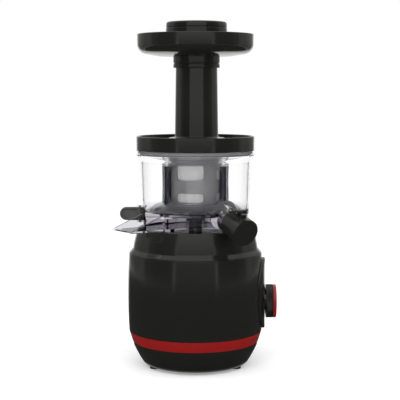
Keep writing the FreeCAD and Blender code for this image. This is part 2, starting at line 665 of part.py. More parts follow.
# Drive shaft: a shoulder in the gearbox, a round neck through the bowl, a hex in the auger
neck_low = bowl_low - 1.0
hex_top = S.drum_bottom + S.auger_socket_depth
hex_low = S.cage_bottom - S.hex_drop
piece(fuse("drive_solid",
           cylinder("drive_root", S.drive_shoulder, neck_low - level_three + 0.5, 0, 0, level_three - 0.5),
           cylinder("drive_neck", S.drive_radius, hex_low - neck_low, 0, 0, neck_low),
           prism("drive_hex", 6, S.hex_width / 1.732, hex_top - hex_low, 0, 0, hex_low)), "drive_shaft")
piece(ring("cover_bearing", S.bearing_radius + 2, S.drive_shoulder + S.run_gap, cover_plate,
           S.plate_thickness + 2), "output_bearing")
piece(ring("deck_seal", S.drive_shoulder + 3, S.drive_shoulder + S.run_gap, deck_low - 4, 7), "deck_shaft_seal")

# Motor: rotor on its shaft with a fan, stator, windings, two bearing brackets, four bolts
stator_top = S.plate_level - S.bracket_thickness - S.winding_height - 1.5
stator_low = stator_top - S.stator_height
bracket_top = stator_low - S.winding_height - S.fan_height - S.bracket_clearance
bracket_low = bracket_top - S.bracket_thickness
stator_bore = S.rotor_radius + S.air_gap
piece(ring("stator_core", S.stator_radius, stator_bore, stator_low, S.stator_height), "motor_stator")
winding_inner = stator_bore + 2
windings = [ring("winding_%d" % n, winding_inner + S.winding_width, winding_inner, low, S.winding_height)
            for n, low in enumerate((stator_low - S.winding_height, stator_top))]
piece(group("winding_group", windings), "motor_windings")
for label, low, pocket, in (("lower_motor_bracket", bracket_low, bracket_top - S.bearing_width),
                            ("upper_motor_bracket", S.plate_level - S.bracket_thickness,
                             S.plate_level - S.bracket_thickness)):
    holes = [cylinder("%s_hole_%d" % (label, n), S.motor_bolt_radius, 20, x, y, low - 5)
             for n, (x, y) in enumerate(bolt_spots)]
    piece(cut(label + "_cut",
              cylinder(label + "_disc", S.bracket_radius, S.bracket_thickness, 0, 0, low),
              cylinder(label + "_pocket", S.bearing_radius, S.bearing_width, 0, 0, pocket),
              cylinder(label + "_bore", S.motor_shaft_radius + 1, 20, 0, 0, low - 5), *holes), label)
bearings = [ring("motor_bearing_%d" % n, S.bearing_radius, S.motor_shaft_radius + S.run_gap, low, S.bearing_width)
            for n, low in enumerate((bracket_top - S.bearing_width, S.plate_level - S.bracket_thickness))]
piece(group("motor_bearing_group", bearings), "motor_bearings")
bolt_low = bracket_low - 2
piece(group("motor_bolt_group", [fuse("motor_bolt_%d" % n,
      cylinder("bolt_shank_%d" % n, S.motor_bolt_radius, plate_top - bolt_low, x, y, bolt_low),
      cylinder("bolt_head_%d" % n, S.motor_bolt_radius * 1.7, 2, x, y, bolt_low))
      for n, (x, y) in enumerate(bolt_spots)]), "motor_bolts")
piece(turned("rotor_shaft_body", [
    (0, bracket_low + 1),
    (S.motor_shaft_radius, bracket_low + 1),
    (S.motor_shaft_radius, S.plate_level + 1),
    (S.pinion_seat_radius, S.plate_level + 1),
    (S.pinion_seat_radius, size(level_one) + S.gear_width + 1),
    (0, size(level_one) + S.gear_width + 1)]), "motor_shaft")
piece(ring("rotor_core_body", S.rotor_radius, S.motor_shaft_radius, stator_low, S.stator_height), "motor_rotor")
fan_low = bracket_top + 1.0
blades = [bar("blade_%d" % n, S.motor_shaft_radius + 3, S.fan_radius - S.motor_shaft_radius - 3, 1.5, fan_low,
              S.fan_height, a) for n, a in enumerate(polar(9))]
piece(fuse("fan_solid", ring("fan_hub", S.motor_shaft_radius + 4, S.motor_shaft_radius, fan_low, S.fan_height),
           ring("fan_disc", S.fan_radius, S.motor_shaft_radius, fan_low, 1.2), *blades), "cooling_fan")

# Electrics on top of the gearbox, and the gland where a mains lead would enter
board_low = cover_plate + S.plate_thickness + 2
board_x = -(S.board_length + S.bearing_radius + 6)
spacers = [cylinder("spacer_%d" % n, 3, S.board_lift, board_x + dx, dy, board_low)
           for n, (dx, dy) in enumerate(((6, 14), (6, -14), (40, 14), (40, -14)))]
piece(group("spacer_group", spacers), "board_spacers")
piece(block("board", S.board_length, S.board_width, S.board_thickness, board_x, -(S.board_width / 2),
            board_low + S.board_lift), "circuit_board")
piece(cylinder("capacitor", S.capacitor_radius, S.capacitor_length, 34, -(S.capacitor_length / 2),
               board_low + S.capacitor_radius, along_y), "run_capacitor")
gland_start = inner - 6
piece(put(turned("gland", [
    (S.gland_bore, gland_start),
    (S.gland_radius, gland_start),
    (S.gland_radius, barrel_radius + 2),
    (S.gland_radius + 2.5, barrel_radius + 2),
    (S.gland_radius + 2.5, barrel_radius + 2 + S.gland_flange),
    (S.gland_bore, barrel_radius + 2 + S.gland_flange)]), 0, 0, S.gland_height, along_y), "cable_gland")

# Bowl: wall, raised juice floor, pulp well, chute and juice spout, then the hollows
well_top = bowl_low + S.juice_floor
hub_top = bowl_low + S.hub_height
low_inner = S.bowl_low_radius - S.bowl_wall
bowl_solid = turned("bowl_solid", [
    (0, bowl_low),
    (S.bowl_foot_radius, bowl_low),
    (S.bowl_low_radius, bowl_low + S.bowl_low_height),
    (S.bowl_high_radius, bowl_low + S.bowl_high_height, -1700),
    (S.bowl_rim_radius, bowl_low + S.bowl_rim_height),
    (S.bowl_rim_radius, bowl_top),
    (0, bowl_top)])
juice_space = turned("juice_space", [
    (S.well_radius + S.bowl_wall, well_top),
    (low_inner - 3, well_top),
    (low_inner + 0.3, well_top + 3.5, -3.6),
    (S.bowl_high_radius - S.bowl_wall, bowl_low + S.bowl_high_height + 0.6),
    (S.bowl_rim_radius - S.bowl_wall, bowl_low + S.bowl_rim_height + 0.6),
    (S.bowl_rim_radius - S.bowl_wall, bowl_top + 1),
    (0, bowl_top + 1),
    (0, well_top),
    ])
well_space = turned("well_space", [
    (S.hub_radius, bowl_low + S.well_floor),
    (S.well_radius, bowl_low + S.well_floor),
    (S.well_radius, well_top + 1),
    (0, well_top + 1),
    (0, hub_top),
    (S.hub_radius, hub_top)])
chute_turn = about_z(S.chute_angle.number)
chute_top = bowl_low + S.chute_side_height


def chute_block(name, start, end, half_width, low, high):
    return bar(name, start, end - start, half_width * 2, low, high - low, S.chute_angle)


chute_inner = S.chute_half_width - S.chute_wall
chute_start = S.hub_radius + 8
chute_low = deck_top + S.chute_rise
chute_body = chute_block("chute_body", chute_start, S.chute_reach, S.chute_half_width, chute_low, chute_top)
chute_tunnel = chute_block("chute_tunnel", chute_start - 2, S.bowl_low_radius + 1, chute_inner,
                           bowl_low + S.well_floor, chute_top - S.juice_floor_thickness)
chute_trough = chute_block("chute_trough", chute_start, S.chute_reach + 1, chute_inner,
                           bowl_low + S.well_floor, chute_top + 1)
slope = math.degrees(math.atan2((S.chute_side_height - S.chute_lip_height).number,
                                (S.chute_reach - S.bowl_low_radius).number))
ramp_turn = chute_turn.multiply(Rotation(Vector(0, 1, 0), slope))
ramp_x = along(S.bowl_low_radius, S.chute_angle) + aside(S.chute_half_width + 5, S.chute_angle)
ramp_y = aside(S.bowl_low_radius, S.chute_angle) - along(S.chute_half_width + 5, S.chute_angle)
chute_ramp = block("chute_ramp", 80, (S.chute_half_width + 5) * 2, 40, ramp_x, ramp_y, chute_top, ramp_turn)
chute_open = cut("chute_open", fuse("chute_air", chute_trough, chute_ramp), bowl_solid)
under_floor = cut("under_floor",
                  ring("under_ring", low_inner - 0.6, S.well_radius + S.bowl_wall, bowl_low - 1,
                       S.juice_floor - S.juice_floor_thickness + 1),
                  chute_block("chute_keep", 0, S.chute_reach, S.chute_half_width, bowl_low - 1, chute_top))
# The spout points out at an angle and down a slope; along_spout goes down its own axis
spout_turn = about_z(S.spout_angle.number).multiply(
    Rotation(Vector(0, 1, 0), 90 + S.spout_slope.number))
spout_start = S.bowl_low_radius - S.spout_inset


def spout_spot(distance, lift=0.0, side=0.0):
    """A place by its distance down the spout, its lift off the axis and its side step."""
    reach = spout_start + along(distance, S.spout_slope) + aside(lift, S.spout_slope)
    height = S.spout_root_height - aside(distance, S.spout_slope) + along(lift, S.spout_slope)
    return (along(reach, S.spout_angle) - aside(side, S.spout_angle),
            aside(reach, S.spout_angle) + along(side, S.spout_angle), height)


spout_tube = cylinder("spout_tube", S.spout_radius, S.spout_length, *spout_spot(0), spout_turn)
spout_flare = cone("spout_flare", S.spout_root_radius, S.spout_radius, S.spout_cone, *spout_spot(0), spout_turn)
spout_bore = cylinder("spout_bore", S.bore_radius, S.spout_length + 20, *spout_spot(-8, S.bore_lift), spout_turn)
spout_mouth = cylinder("spout_mouth", S.spout_radius - S.spout_wall, S.spout_length, *spout_spot(8),
                       spout_turn)
lever_x = along(S.bowl_low_radius + S.lever_offset, S.lever_angle)
lever_y = aside(S.bowl_low_radius + S.lever_offset, S.lever_angle)
lever_top = S.lever_level + S.lever_height
lug_low = S.lever_level - S.lug_thickness - S.run_gap
lug_top = lever_top + S.run_gap
lugs = []
for number, level in enumerate((lug_low, lug_top)):
    lugs.append(bar("lug_%d" % number, S.bowl_low_radius - 2, S.lever_offset + 2, S.lever_barrel * 2, level,
                    S.lug_thickness, S.lever_angle))
    lugs.append(cylinder("lug_end_%d" % number, S.lever_barrel, S.lug_thickness, lever_x, lever_y, level))
lever_pin_length = S.lever_height + S.lug_thickness * 2 + S.run_gap * 2
lug_bore = cylinder("lug_bore", S.lever_pin_radius, lever_pin_length, lever_x, lever_y, lug_low)
idler_distance = (S.auger_teeth + S.idler_teeth) * S.brush_module / 2 + S.gear_play / 2
idler_x, idler_y = along(idler_distance, S.idler_angle), aside(idler_distance, S.idler_angle)
boss_top = well_top - 0.6
idler_boss = cylinder("idler_boss", S.idler_pin_radius + 2, boss_top - bowl_low - 1, idler_x, idler_y, bowl_low + 1)
idler_pin_low = boss_top - 8
idler_socket = cylinder("idler_socket", S.idler_pin_radius, 9, idler_x, idler_y, idler_pin_low)
hub_hole = cylinder("hub_hole", S.hub_bore, 40, 0, 0, bowl_low - 5)
seal_pocket = cylinder("seal_pocket", S.seal_radius, S.seal_height + 1, 0, 0, hub_top - S.seal_height)
spout_outside = cut("spout_outside", fuse("spout_outer", spout_tube, spout_flare),
                    cylinder("spout_trim", low_inner + 1, 80, 0, 0, S.spout_root_height - 40))
bowl_open = cut("bowl_open", fuse("bowl_mass", bowl_solid, chute_body, spout_outside, *lugs),
                juice_space, well_space, chute_tunnel, chute_open, under_floor)
piece(cut("bowl_cut", fuse("bowl_bossed", bowl_open, idler_boss),
          hub_hole, seal_pocket, idler_socket, spout_bore, spout_mouth, lug_bore), "juice_bowl")
piece(ring("bowl_seal", S.seal_radius, S.drive_radius + S.run_gap, hub_top - S.seal_height,
           S.seal_height), "bowl_shaft_seal")
piece(cylinder("idler_pin_rod", S.idler_pin_radius, S.cage_bottom + S.cage_ring_height - idler_pin_low,
               idler_x, idler_y, idler_pin_low), "idler_gear_pin")

# Spout collar and the flip cap that hangs on its pin
collar_outer = S.spout_radius + 0.1 + S.collar_wall
cap_start = S.collar_start + S.collar_length + 0.4
hinge_place = cap_start - S.cap_hinge_back
side_turn = about_z(S.spout_angle.number).multiply(Rotation(Vector(1, 0, 0), -90))
hinge_outer = S.hinge_pin_radius + 1.6
collar_sleeve = cylinder("collar_sleeve", collar_outer, S.collar_length, *spout_spot(S.collar_start), spout_turn)
ear_block = cylinder("ear_block", hinge_outer, S.hinge_width,
                     *spout_spot(hinge_place, S.cap_hinge_lift, S.hinge_width * -0.5), side_turn)
ear_foot_turn = spout_turn.multiply(Rotation(Vector(0, 0, 1), 180))
ear_foot = block("ear_foot", S.cap_hinge_lift - S.spout_radius - 1, S.hinge_width, hinge_outer * 2,
                 *spout_spot(hinge_place - hinge_outer, S.spout_radius + 1, S.hinge_width * 0.5), ear_foot_turn)
knuckle_gap = cylinder("knuckle_gap", hinge_outer + 1.2, S.hinge_width - S.hinge_knuckle * 2,
                       *spout_spot(hinge_place, S.cap_hinge_lift,
                                   -(S.hinge_width - S.hinge_knuckle * 2) * 0.5), side_turn)
collar_bore = cylinder("collar_bore", S.spout_radius + 0.1, S.collar_length + 10,
                       *spout_spot(S.collar_start - 5), spout_turn)
pin_bore = cylinder("pin_bore", S.hinge_pin_radius, S.hinge_width + 2,
                    *spout_spot(hinge_place, S.cap_hinge_lift, -(S.hinge_width + 2) * 0.5), side_turn)
piece(cut("collar_cut", fuse("collar_solid", collar_sleeve, ear_block, ear_foot), knuckle_gap, collar_bore,
          pin_bore), "spout_collar")
piece(cylinder("cap_pin_rod", S.hinge_pin_radius, S.hinge_width,
               *spout_spot(hinge_place, S.cap_hinge_lift, S.hinge_width * -0.5), side_turn), "cap_hinge_pin")
cap_outer = collar_outer
cap_inner = cap_outer - S.cap_skirt_wall
knuckle_width = S.hinge_width - S.hinge_knuckle * 2 - 0.6
cap_cup = cut("cap_cup",
              cylinder("cap_disc", cap_outer, S.cap_length, *spout_spot(cap_start), spout_turn),
              cylinder("cap_hollow", cap_inner, S.cap_length - S.cap_face, *spout_spot(cap_start),
                       spout_turn))
cap_knuckle = cylinder("cap_knuckle", hinge_outer - 0.3, knuckle_width,
                       *spout_spot(hinge_place, S.cap_hinge_lift, knuckle_width * -0.5), side_turn)
cap_arm = block("cap_arm", 3, knuckle_width, S.cap_hinge_back + 5,
                *spout_spot(hinge_place, S.cap_hinge_lift - 2.6, knuckle_width * 0.5), ear_foot_turn)
cap_bore = cylinder("cap_bore", S.hinge_pin_radius + S.run_gap, S.hinge_width + 2,
                    *spout_spot(hinge_place, S.cap_hinge_lift, -(S.hinge_width + 2) * 0.5), side_turn)
piece(cut("cap_cut", fuse("cap_solid", cap_cup, cap_knuckle, cap_arm), cap_bore), "juice_cap")
plug_start = S.spout_length + 0.4
plug_end = cap_start + S.cap_length - S.cap_face
piece(cylinder("cap_plug", S.spout_radius - 1, plug_end - plug_start, *spout_spot(plug_start), spout_turn),
      "cap_seal")

# Pulp lever on its upright pin behind the chute
lever_turn = about_z(180.0)
lever_reach = S.lever_length
lever_half = S.lever_height / 2
lever_plate = fuse("lever_plate",
                   block("lever_bar", lever_reach - lever_half, S.lever_thickness, S.lever_height,
                         lever_x, lever_y + S.lever_thickness / 2, S.lever_level, lever_turn),
                   cylinder("lever_end", lever_half, S.lever_thickness, lever_x - lever_reach + lever_half,
                            lever_y - S.lever_thickness / 2, S.lever_level + lever_half, along_y),
                   cylinder("lever_hub", S.lever_barrel, S.lever_height, lever_x, lever_y, S.lever_level))
piece(cut("lever_cut", lever_plate,
          cylinder("lever_bore", S.lever_pin_radius + S.run_gap, 30, lever_x, lever_y, S.lever_level - 5)),
      "pulp_lever")
piece(cylinder("lever_pin_rod", S.lever_pin_radius, lever_pin_length, lever_x, lever_y, lug_low), "lever_pin")

# Strainer: a drum with windows that holds the fine screen, and a dish that hangs it from the rim
drum_inner = S.drum_radius - S.drum_wall
strainer_shell = turned("strainer_shell", [
    (S.drum_hole - 4, S.drum_bottom),
    (S.drum_radius, S.drum_bottom),
    (S.drum_radius, S.drum_top),
    (S.dish_mid_radius, S.dish_mid_height, 16),
    (S.dish_radius, S.dish_height - 1),
    (S.dish_radius, S.dish_height + 1),
    (S.dish_mid_radius - 1, S.dish_mid_height + S.dish_wall),
    (drum_inner, S.drum_top + 1.5, -16),
    (drum_inner, S.drum_bottom + S.drum_floor),
    (S.drum_hole - 4, S.drum_bottom + S.drum_floor)])
window_low = S.drum_bottom + S.mesh_land
window_height = S.drum_top - S.mesh_land - window_low
drum_windows = [bar("drum_window_%d" % n, drum_inner - 4, S.drum_wall + 8, S.window_width, window_low,
                    window_height, a) for n, a in enumerate(polar(8, 22.5))]
pulp_port = bar("pulp_port", S.drum_hole + 1, drum_inner - S.drum_hole - 3, 16, S.drum_bottom - 1, 4, S.chute_angle)
piece(cut("strainer_cut", strainer_shell, pulp_port, *drum_windows), "strainer_frame")
piece(ring("screen_tube", drum_inner - S.run_gap, drum_inner - S.mesh_wall, window_low - 3, window_height + 6),
      "strainer_screen")

# Brush cage: turned by the ring gear in its foot, with three silicone wipers
ring_pitch = S.ring_teeth * S.brush_module / 2
cage_inner = S.cage_radius - S.cage_wall
cage_ring_top = S.cage_bottom + S.cage_ring_height
cage_blank = turned("cage_blank", [
    (ring_pitch - 3, S.cage_bottom),
    (S.cage_radius - 1, S.cage_bottom),
    (S.cage_skirt_radius - 1.5, well_top + 1),
    (S.cage_skirt_radius, well_top + 2),
    (S.cage_radius, cage_ring_top + S.cage_skirt_height, S.cage_skirt_bulge * -1),
    (S.cage_radius, S.cage_top),
    (cage_inner, S.cage_top),
    (cage_inner, cage_ring_top),
    (ring_pitch - 3, cage_ring_top)])
cage_window_low = cage_ring_top + S.cage_window_margin
cage_window_height = S.cage_top - S.cage_window_margin - cage_window_low
cage_windows = [bar("cage_window_%d" % n, cage_inner - 6, 14, S.cage_window_width, cage_window_low,
                    cage_window_height, a) for n, a in enumerate(polar(3, 30.0))]
wiper_low = cage_ring_top + 3
wiper_start = S.drum_radius + S.wiper_reach
wiper_angles = polar(3, 330.0)


def wiper_bars(prefix):
    return [bar("%s_%d" % (prefix, n), wiper_start, S.cage_radius + 1 - wiper_start, S.wiper_thickness,
                wiper_low, S.cage_top - 3 - wiper_low, a) for n, a in enumerate(wiper_angles)]


cage_body = cut("cage_body", cage_blank, *cage_windows, *wiper_bars("wiper_slot"))
doc.recompute()
ring_void = toothed(count["ring_teeth"], S.brush_module.number, S.cage_ring_height.number + 2,
                    S.cage_bottom.number - 1, S.idler_angle.number + 180 / count["ring_teeth"],
                    -thin, 1.25, 0.75)
ring_cutter = made("ring_cutter", ring_void)
piece(cut("cage_cut", cage_body, ring_cutter), "brush_cage")
piece(group("wiper_group", wiper_bars("wiper")), "brush_wipers")
idler = toothed(count["idler_teeth"], S.brush_module.number, S.cage_ring_height.number - 0.6,
                S.cage_bottom.number + 0.3, S.idler_angle.number + 180 / count["idler_teeth"], thin, 0.85)
idler = idler.cut(rod(S.idler_pin_radius.number + S.run_gap.number, 20, S.cage_bottom.number - 5))
piece(made("idler_wheel", idler, idler_x, idler_y), "idler_gear")

# Auger: a tapered core with two flights, a gear and a hex socket in its foot
auger_low = S.drum_bottom + S.drum_floor + 0.3
auger_gear = toothed(count["auger_teeth"], S.brush_module.number,
                     (auger_low - S.cage_bottom - 0.3).number, (S.cage_bottom + 0.3).number,
                     S.idler_angle.number, thin, 0.85)
socket = Part.Face(Part.makePolygon([
    Vector(((S.hex_width / 2 + S.socket_gap) / 0.866).number * math.cos(math.radians(60 * n)),
           ((S.hex_width / 2 + S.socket_gap) / 0.866).number * math.sin(math.radians(60 * n)),
           (S.cage_bottom - 5).number) for n in range(7)]))
socket = socket.extrude(Vector(0, 0, (hex_top + 0.6 - S.cage_bottom + 5).number))
piece(made("auger_pinion", auger_gear.cut(socket)), "auger_gear")
flight_low = auger_low.number + 0.4
flight_top = (S.auger_top - 6).number
core = Part.makeCylinder(S.auger_radius.number, 2.4, Vector(0, 0, auger_low.number))
core = core.fuse(Part.makeCone(S.auger_core.number + 6, S.auger_core.number - 3,
                               flight_top - auger_low.number, Vector(0, 0, auger_low.number)))
core = core.fuse(Part.makeCone(S.auger_core.number - 3, S.auger_nose.number,
                               S.auger_top.number - flight_top, Vector(0, 0, flight_top)))
core = core.removeSplitter()


def flight(first):
    """One flight: a tapered strip swept up a helix of even pitch."""
    thick = S.auger_flight.number / 2
    outer = S.auger_radius.number
    root = S.auger_core.number - 6
    rise = flight_top - flight_low - 6
    helix = Part.makeHelix(S.auger_pitch.number, rise, outer)
    strip = Part.makePolygon([Vector(root, 0, -thick), Vector(outer, 0, -thick * 0.45),
                              Vector(outer, 0, thick * 0.45), Vector(root, 0, thick),
                              Vector(root, 0, -thick)])
    solid = Part.Wire(helix.Edges).makePipeShell([strip], True, True)
    solid.translate(Vector(0, 0, flight_low + thick))
    solid.rotate(Vector(0, 0, 0), Vector(0, 0, 1), first)
    return solid


screw = core.fuse([flight(0), flight(180)])
piece(made("auger_screw", screw.cut(socket)), "auger")

# Lid: a dished ring with an upright feed tube, and the seal under its rim
tube_x = S.tube_offset
lid_ring = turned("lid_ring", [
    (S.lid_skirt_radius - 2.4, lid_low - S.lid_skirt_depth),
    (S.lid_skirt_radius, lid_low - S.lid_skirt_depth),
    (S.lid_skirt_radius, lid_low),
    (S.lid_radius, lid_low),
    (S.lid_radius, lid_top - 0.8),
    (S.lid_radius - 0.8, lid_top, 0.8),
    (S.lid_radius - S.lid_rim, lid_top),
    (S.lid_radius - S.lid_rim - 0.6, lid_top - S.lid_dish_depth + 2),
    (S.lid_radius - S.lid_rim - 5, lid_top - S.lid_dish_depth, 3),
    (0, lid_top - S.lid_dish_depth - 2),
    (0, lid_top - S.lid_dish_depth - 2 - S.lid_wall),
    (S.lid_skirt_radius - 6, lid_top - S.lid_dish_depth - S.lid_wall),
    (S.lid_skirt_radius - 2.4, lid_low + 1)])
tube_low = lid_top - S.lid_dish_depth - 4
tube_wall = cone("tube_wall", S.tube_base_radius, S.tube_top_radius, S.tube_top - tube_low, tube_x, 0, tube_low)
collar_low = lid_top - S.lid_dish_depth - 3
tube_collar = cone("tube_collar", S.tube_collar_radius + 1, S.tube_collar_radius - 2,
                   S.tube_collar_rise + 3, tube_x, 0, collar_low)
tube_way = cylinder("tube_way", S.tube_bore, 160, tube_x, 0, lid_low - 20)
piece(cut("lid_cut", fuse("lid_solid", lid_ring, tube_wall, tube_collar), tube_way), "lid")
piece(ring("lid_seal_ring", S.lid_seal_radius, S.lid_skirt_radius, lid_low - 2.6, 1.8), "lid_seal")

# Hopper tray: a shallow pan whose collar slips over the feed tube
pan_low = S.tray_bottom
collar_inner = S.tube_top_radius + 0.4
tray_level = S.tray_top - S.tray_wall_drop
tray_pan = turned("tray_pan", [
    (S.tube_bore + 1, pan_low - 0.6),
    (S.tray_throat_radius, pan_low),
    (S.tray_corner_radius, pan_low + 2.8),
    (S.tray_radius - 0.2, tray_level, -S.tray_corner_bulge),
    (S.tray_radius, S.tray_top - 0.6),
    (S.tray_radius - 0.8, S.tray_top, 0.7),
    (S.tray_radius - S.tray_wall, S.tray_top),
    (S.tray_radius - S.tray_wall - 0.2, tray_level + 1.5),
    (S.tray_corner_radius - 1, pan_low + 2.8 + S.tray_wall, S.tray_corner_bulge - 2),
    (S.tube_bore + 1, pan_low + 2 + S.tray_wall)])
tray_collar = cylinder("tray_collar", S.tray_collar_radius, pan_low + 3 - S.tray_collar_bottom, tube_x, 0,
                       S.tray_collar_bottom)
collar_way = cylinder("collar_way", collar_inner, S.tube_top + 0.3 - S.tray_collar_bottom + 5, tube_x, 0,
                      S.tray_collar_bottom - 5)
tray_way = cylinder("tray_way", S.tube_bore, 60, tube_x, 0, S.tray_collar_bottom)
piece(cut("tray_cut", fuse("tray_solid", tray_pan, tray_collar), collar_way, tray_way), "hopper_tray")

# Pusher: a hollow stem that runs in the feed tube, and a wide cap that rests in the tray
pusher_low = pan_low + 2 + S.tray_wall + 2.6
band_level = S.pusher_top - S.pusher_band
cap_body = turned("pusher_cap_body", [
    (0, pusher_low),
    (S.pusher_radius - 0.6, pusher_low),
    (S.pusher_radius, band_level),
    (S.pusher_radius - S.pusher_step, band_level),
    (S.pusher_radius - S.pusher_step, S.pusher_top),
    (0, S.pusher_top)], rounds=[(S.pusher_round, [4])])
stem_inner = S.pusher_stem_radius - S.pusher_wall
piece(put(cap_body, tube_x, 0, 0), "pusher_cap")
piece(put(turned("pusher_stem_body", [
    (0, S.pusher_bottom),
    (S.pusher_stem_radius, S.pusher_bottom),
    (S.pusher_stem_radius, pusher_low),
    (stem_inner, pusher_low),
    (stem_inner, S.pusher_bottom + S.pusher_wall),
    (0, S.pusher_bottom + S.pusher_wall)]), tube_x, 0, 0), "pusher_stem")

doc.recompute()
print("cap pivot", [round(value.number, 3) for value in spout_spot(hinge_place, S.cap_hinge_lift)])
print("lever pivot", round(lever_x.number, 3), round(lever_y.number, 3))
for obj in doc.Objects:
    if "Invalid" in obj.State or "Error" in obj.State:
        raise SystemExit("%s (%s) did not build: %s" % (obj.Name, obj.Label, obj.State))
for obj in pieces:
    if obj.Shape.isNull() or not obj.Shape.isValid():
        raise SystemExit("%s has no valid shape" % obj.Label)

os.makedirs("parts", exist_ok=True)
for obj in pieces:
    obj.Shape.exportStep("parts/%s.step" % obj.Label)
    print("%-24s %d solid(s) %10.1f mm3" % (obj.Label, len(obj.Shape.Solids), obj.Shape.Volume))
print(len(pieces), "pieces")
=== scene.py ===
import math

import bmesh
import bpy
import numpy as np
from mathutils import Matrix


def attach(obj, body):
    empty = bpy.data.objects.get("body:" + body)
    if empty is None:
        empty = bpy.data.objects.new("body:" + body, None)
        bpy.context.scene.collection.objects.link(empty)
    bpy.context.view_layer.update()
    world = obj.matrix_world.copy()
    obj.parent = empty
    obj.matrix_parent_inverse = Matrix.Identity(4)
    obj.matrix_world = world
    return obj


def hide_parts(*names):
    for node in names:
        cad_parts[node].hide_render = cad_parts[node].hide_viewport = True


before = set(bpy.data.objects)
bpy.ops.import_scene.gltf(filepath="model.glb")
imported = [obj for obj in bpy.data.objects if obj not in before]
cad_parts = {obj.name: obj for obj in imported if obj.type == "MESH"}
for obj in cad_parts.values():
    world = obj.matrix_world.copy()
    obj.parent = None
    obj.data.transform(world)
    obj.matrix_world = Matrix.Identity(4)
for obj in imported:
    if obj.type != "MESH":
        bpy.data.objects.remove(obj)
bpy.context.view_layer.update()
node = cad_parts
shot = bpy.context.scene
shot.view_settings.view_transform = "Standard"


# Worktop and camera
# A pale matt worktop that keeps the contact shadow, seen from the front and a little above
# at the height of the bowl, as a catalogue picture of an appliance is taken.
def from_faces(name, points, faces):
    """A mesh of the listed faces over an array of points in metres."""
    mesh = bpy.data.meshes.new(name)
    mesh.from_pydata(np.asarray(points, float).reshape(-1, 3).tolist(), [], faces)
    return mesh


def shown(name, mesh):
    """Puts a mesh into the scene as an object at the origin."""
    obj = bpy.data.objects.new(name, mesh)
    shot.collection.objects.link(obj)
    return obj


def background_light(tree, soft, bright):
    """A strength that is bright where the camera, gloss or glass looks, and soft elsewhere."""
    path = tree.nodes.new("ShaderNodeLightPath")
    seen = tree.nodes.new("ShaderNodeMath")
    seen.operation = "MAXIMUM"
    tree.links.new(path.outputs["Is Camera Ray"], seen.inputs[0])
    tree.links.new(path.outputs["Is Glossy Ray"], seen.inputs[1])
    through = tree.nodes.new("ShaderNodeMath")
    through.operation = "MAXIMUM"
    tree.links.new(seen.outputs[0], through.inputs[0])
    tree.links.new(path.outputs["Is Transmission Ray"], through.inputs[1])
    level = tree.nodes.new("ShaderNodeMapRange")
    level.inputs["To Min"].default_value = soft
    level.inputs["To Max"].default_value = bright
    tree.links.new(through.outputs[0], level.inputs["Value"])
    return level.outputs["Result"]


worktop = shown("worktop", from_faces("worktop", [
    (-6, -6, 0), (6, -6, 0), (6, 6, 0), (-6, 6, 0)], [(0, 1, 2, 3)]))
worktop_white = bpy.data.materials.new("worktop_white")
worktop_white.use_nodes = True
tree = worktop_white.node_tree
top = tree.nodes["Principled BSDF"]
top.inputs["Base Color"].default_value = (0.86, 0.86, 0.86, 1)
top.inputs["Roughness"].default_value = 0.9
top.inputs["Specular IOR Level"].default_value = 0.1
top.inputs["Emission Color"].default_value = (1, 1, 1, 1)
tree.links.new(background_light(tree, 0.0, 0.29), top.inputs["Emission Strength"])
worktop.data.materials.append(worktop_white)

lens = bpy.data.cameras.new("front_camera")
lens.lens = 100.53
lens.sensor_width = 36.0
camera = bpy.data.objects.new("front_camera", lens)
camera.location = (0.005592, -1.36182, 0.33679)
camera.rotation_euler = (math.radians(90 - 5.589), 0, 0)
shot.collection.objects.link(camera)
shot.camera = camera


# Studio light
# A white room with a broad soft lamp above the front and one at each side. A dim panel in
# front and dark cards beside and behind draw the upright bands in the gloss of the plastic.
room = bpy.data.worlds.new("white_room")
room.use_nodes = True
shot.world = room
sky = room.node_tree.nodes["Background"]
sky.inputs["Color"].default_value = (1, 1, 1, 1)
room.node_tree.links.new(background_light(room.node_tree, 0.86, 1.0), sky.inputs["Strength"])

for name, spot, aim, wide, high, power in (
        ("front_lamp", (0.0, -1.5, 1.9), (0, 0, 0.2), 1.6, 0.9, 16.0),
        ("left_lamp", (-1.7, -0.4, 1.2), (0, 0, 0.2), 0.8, 1.4, 5.0),
        ("right_lamp", (1.7, -0.4, 1.2), (0, 0, 0.2), 0.8, 1.4, 5.0)):
    light = bpy.data.lights.new(name, "AREA")
    light.shape = "RECTANGLE"
    light.size = wide
    light.size_y = high
    light.energy = power
    lamp = bpy.data.objects.new(name, light)
    lamp.location = spot
    away = np.array(spot, float) - np.array(aim, float)
    lamp.rotation_euler = (math.acos(away[2] / np.linalg.norm(away)), 0,
                           math.atan2(away[1], away[0]) + math.pi / 2)
    lamp.visible_glossy = False
    lamp.visible_camera = False
    shot.collection.objects.link(lamp)


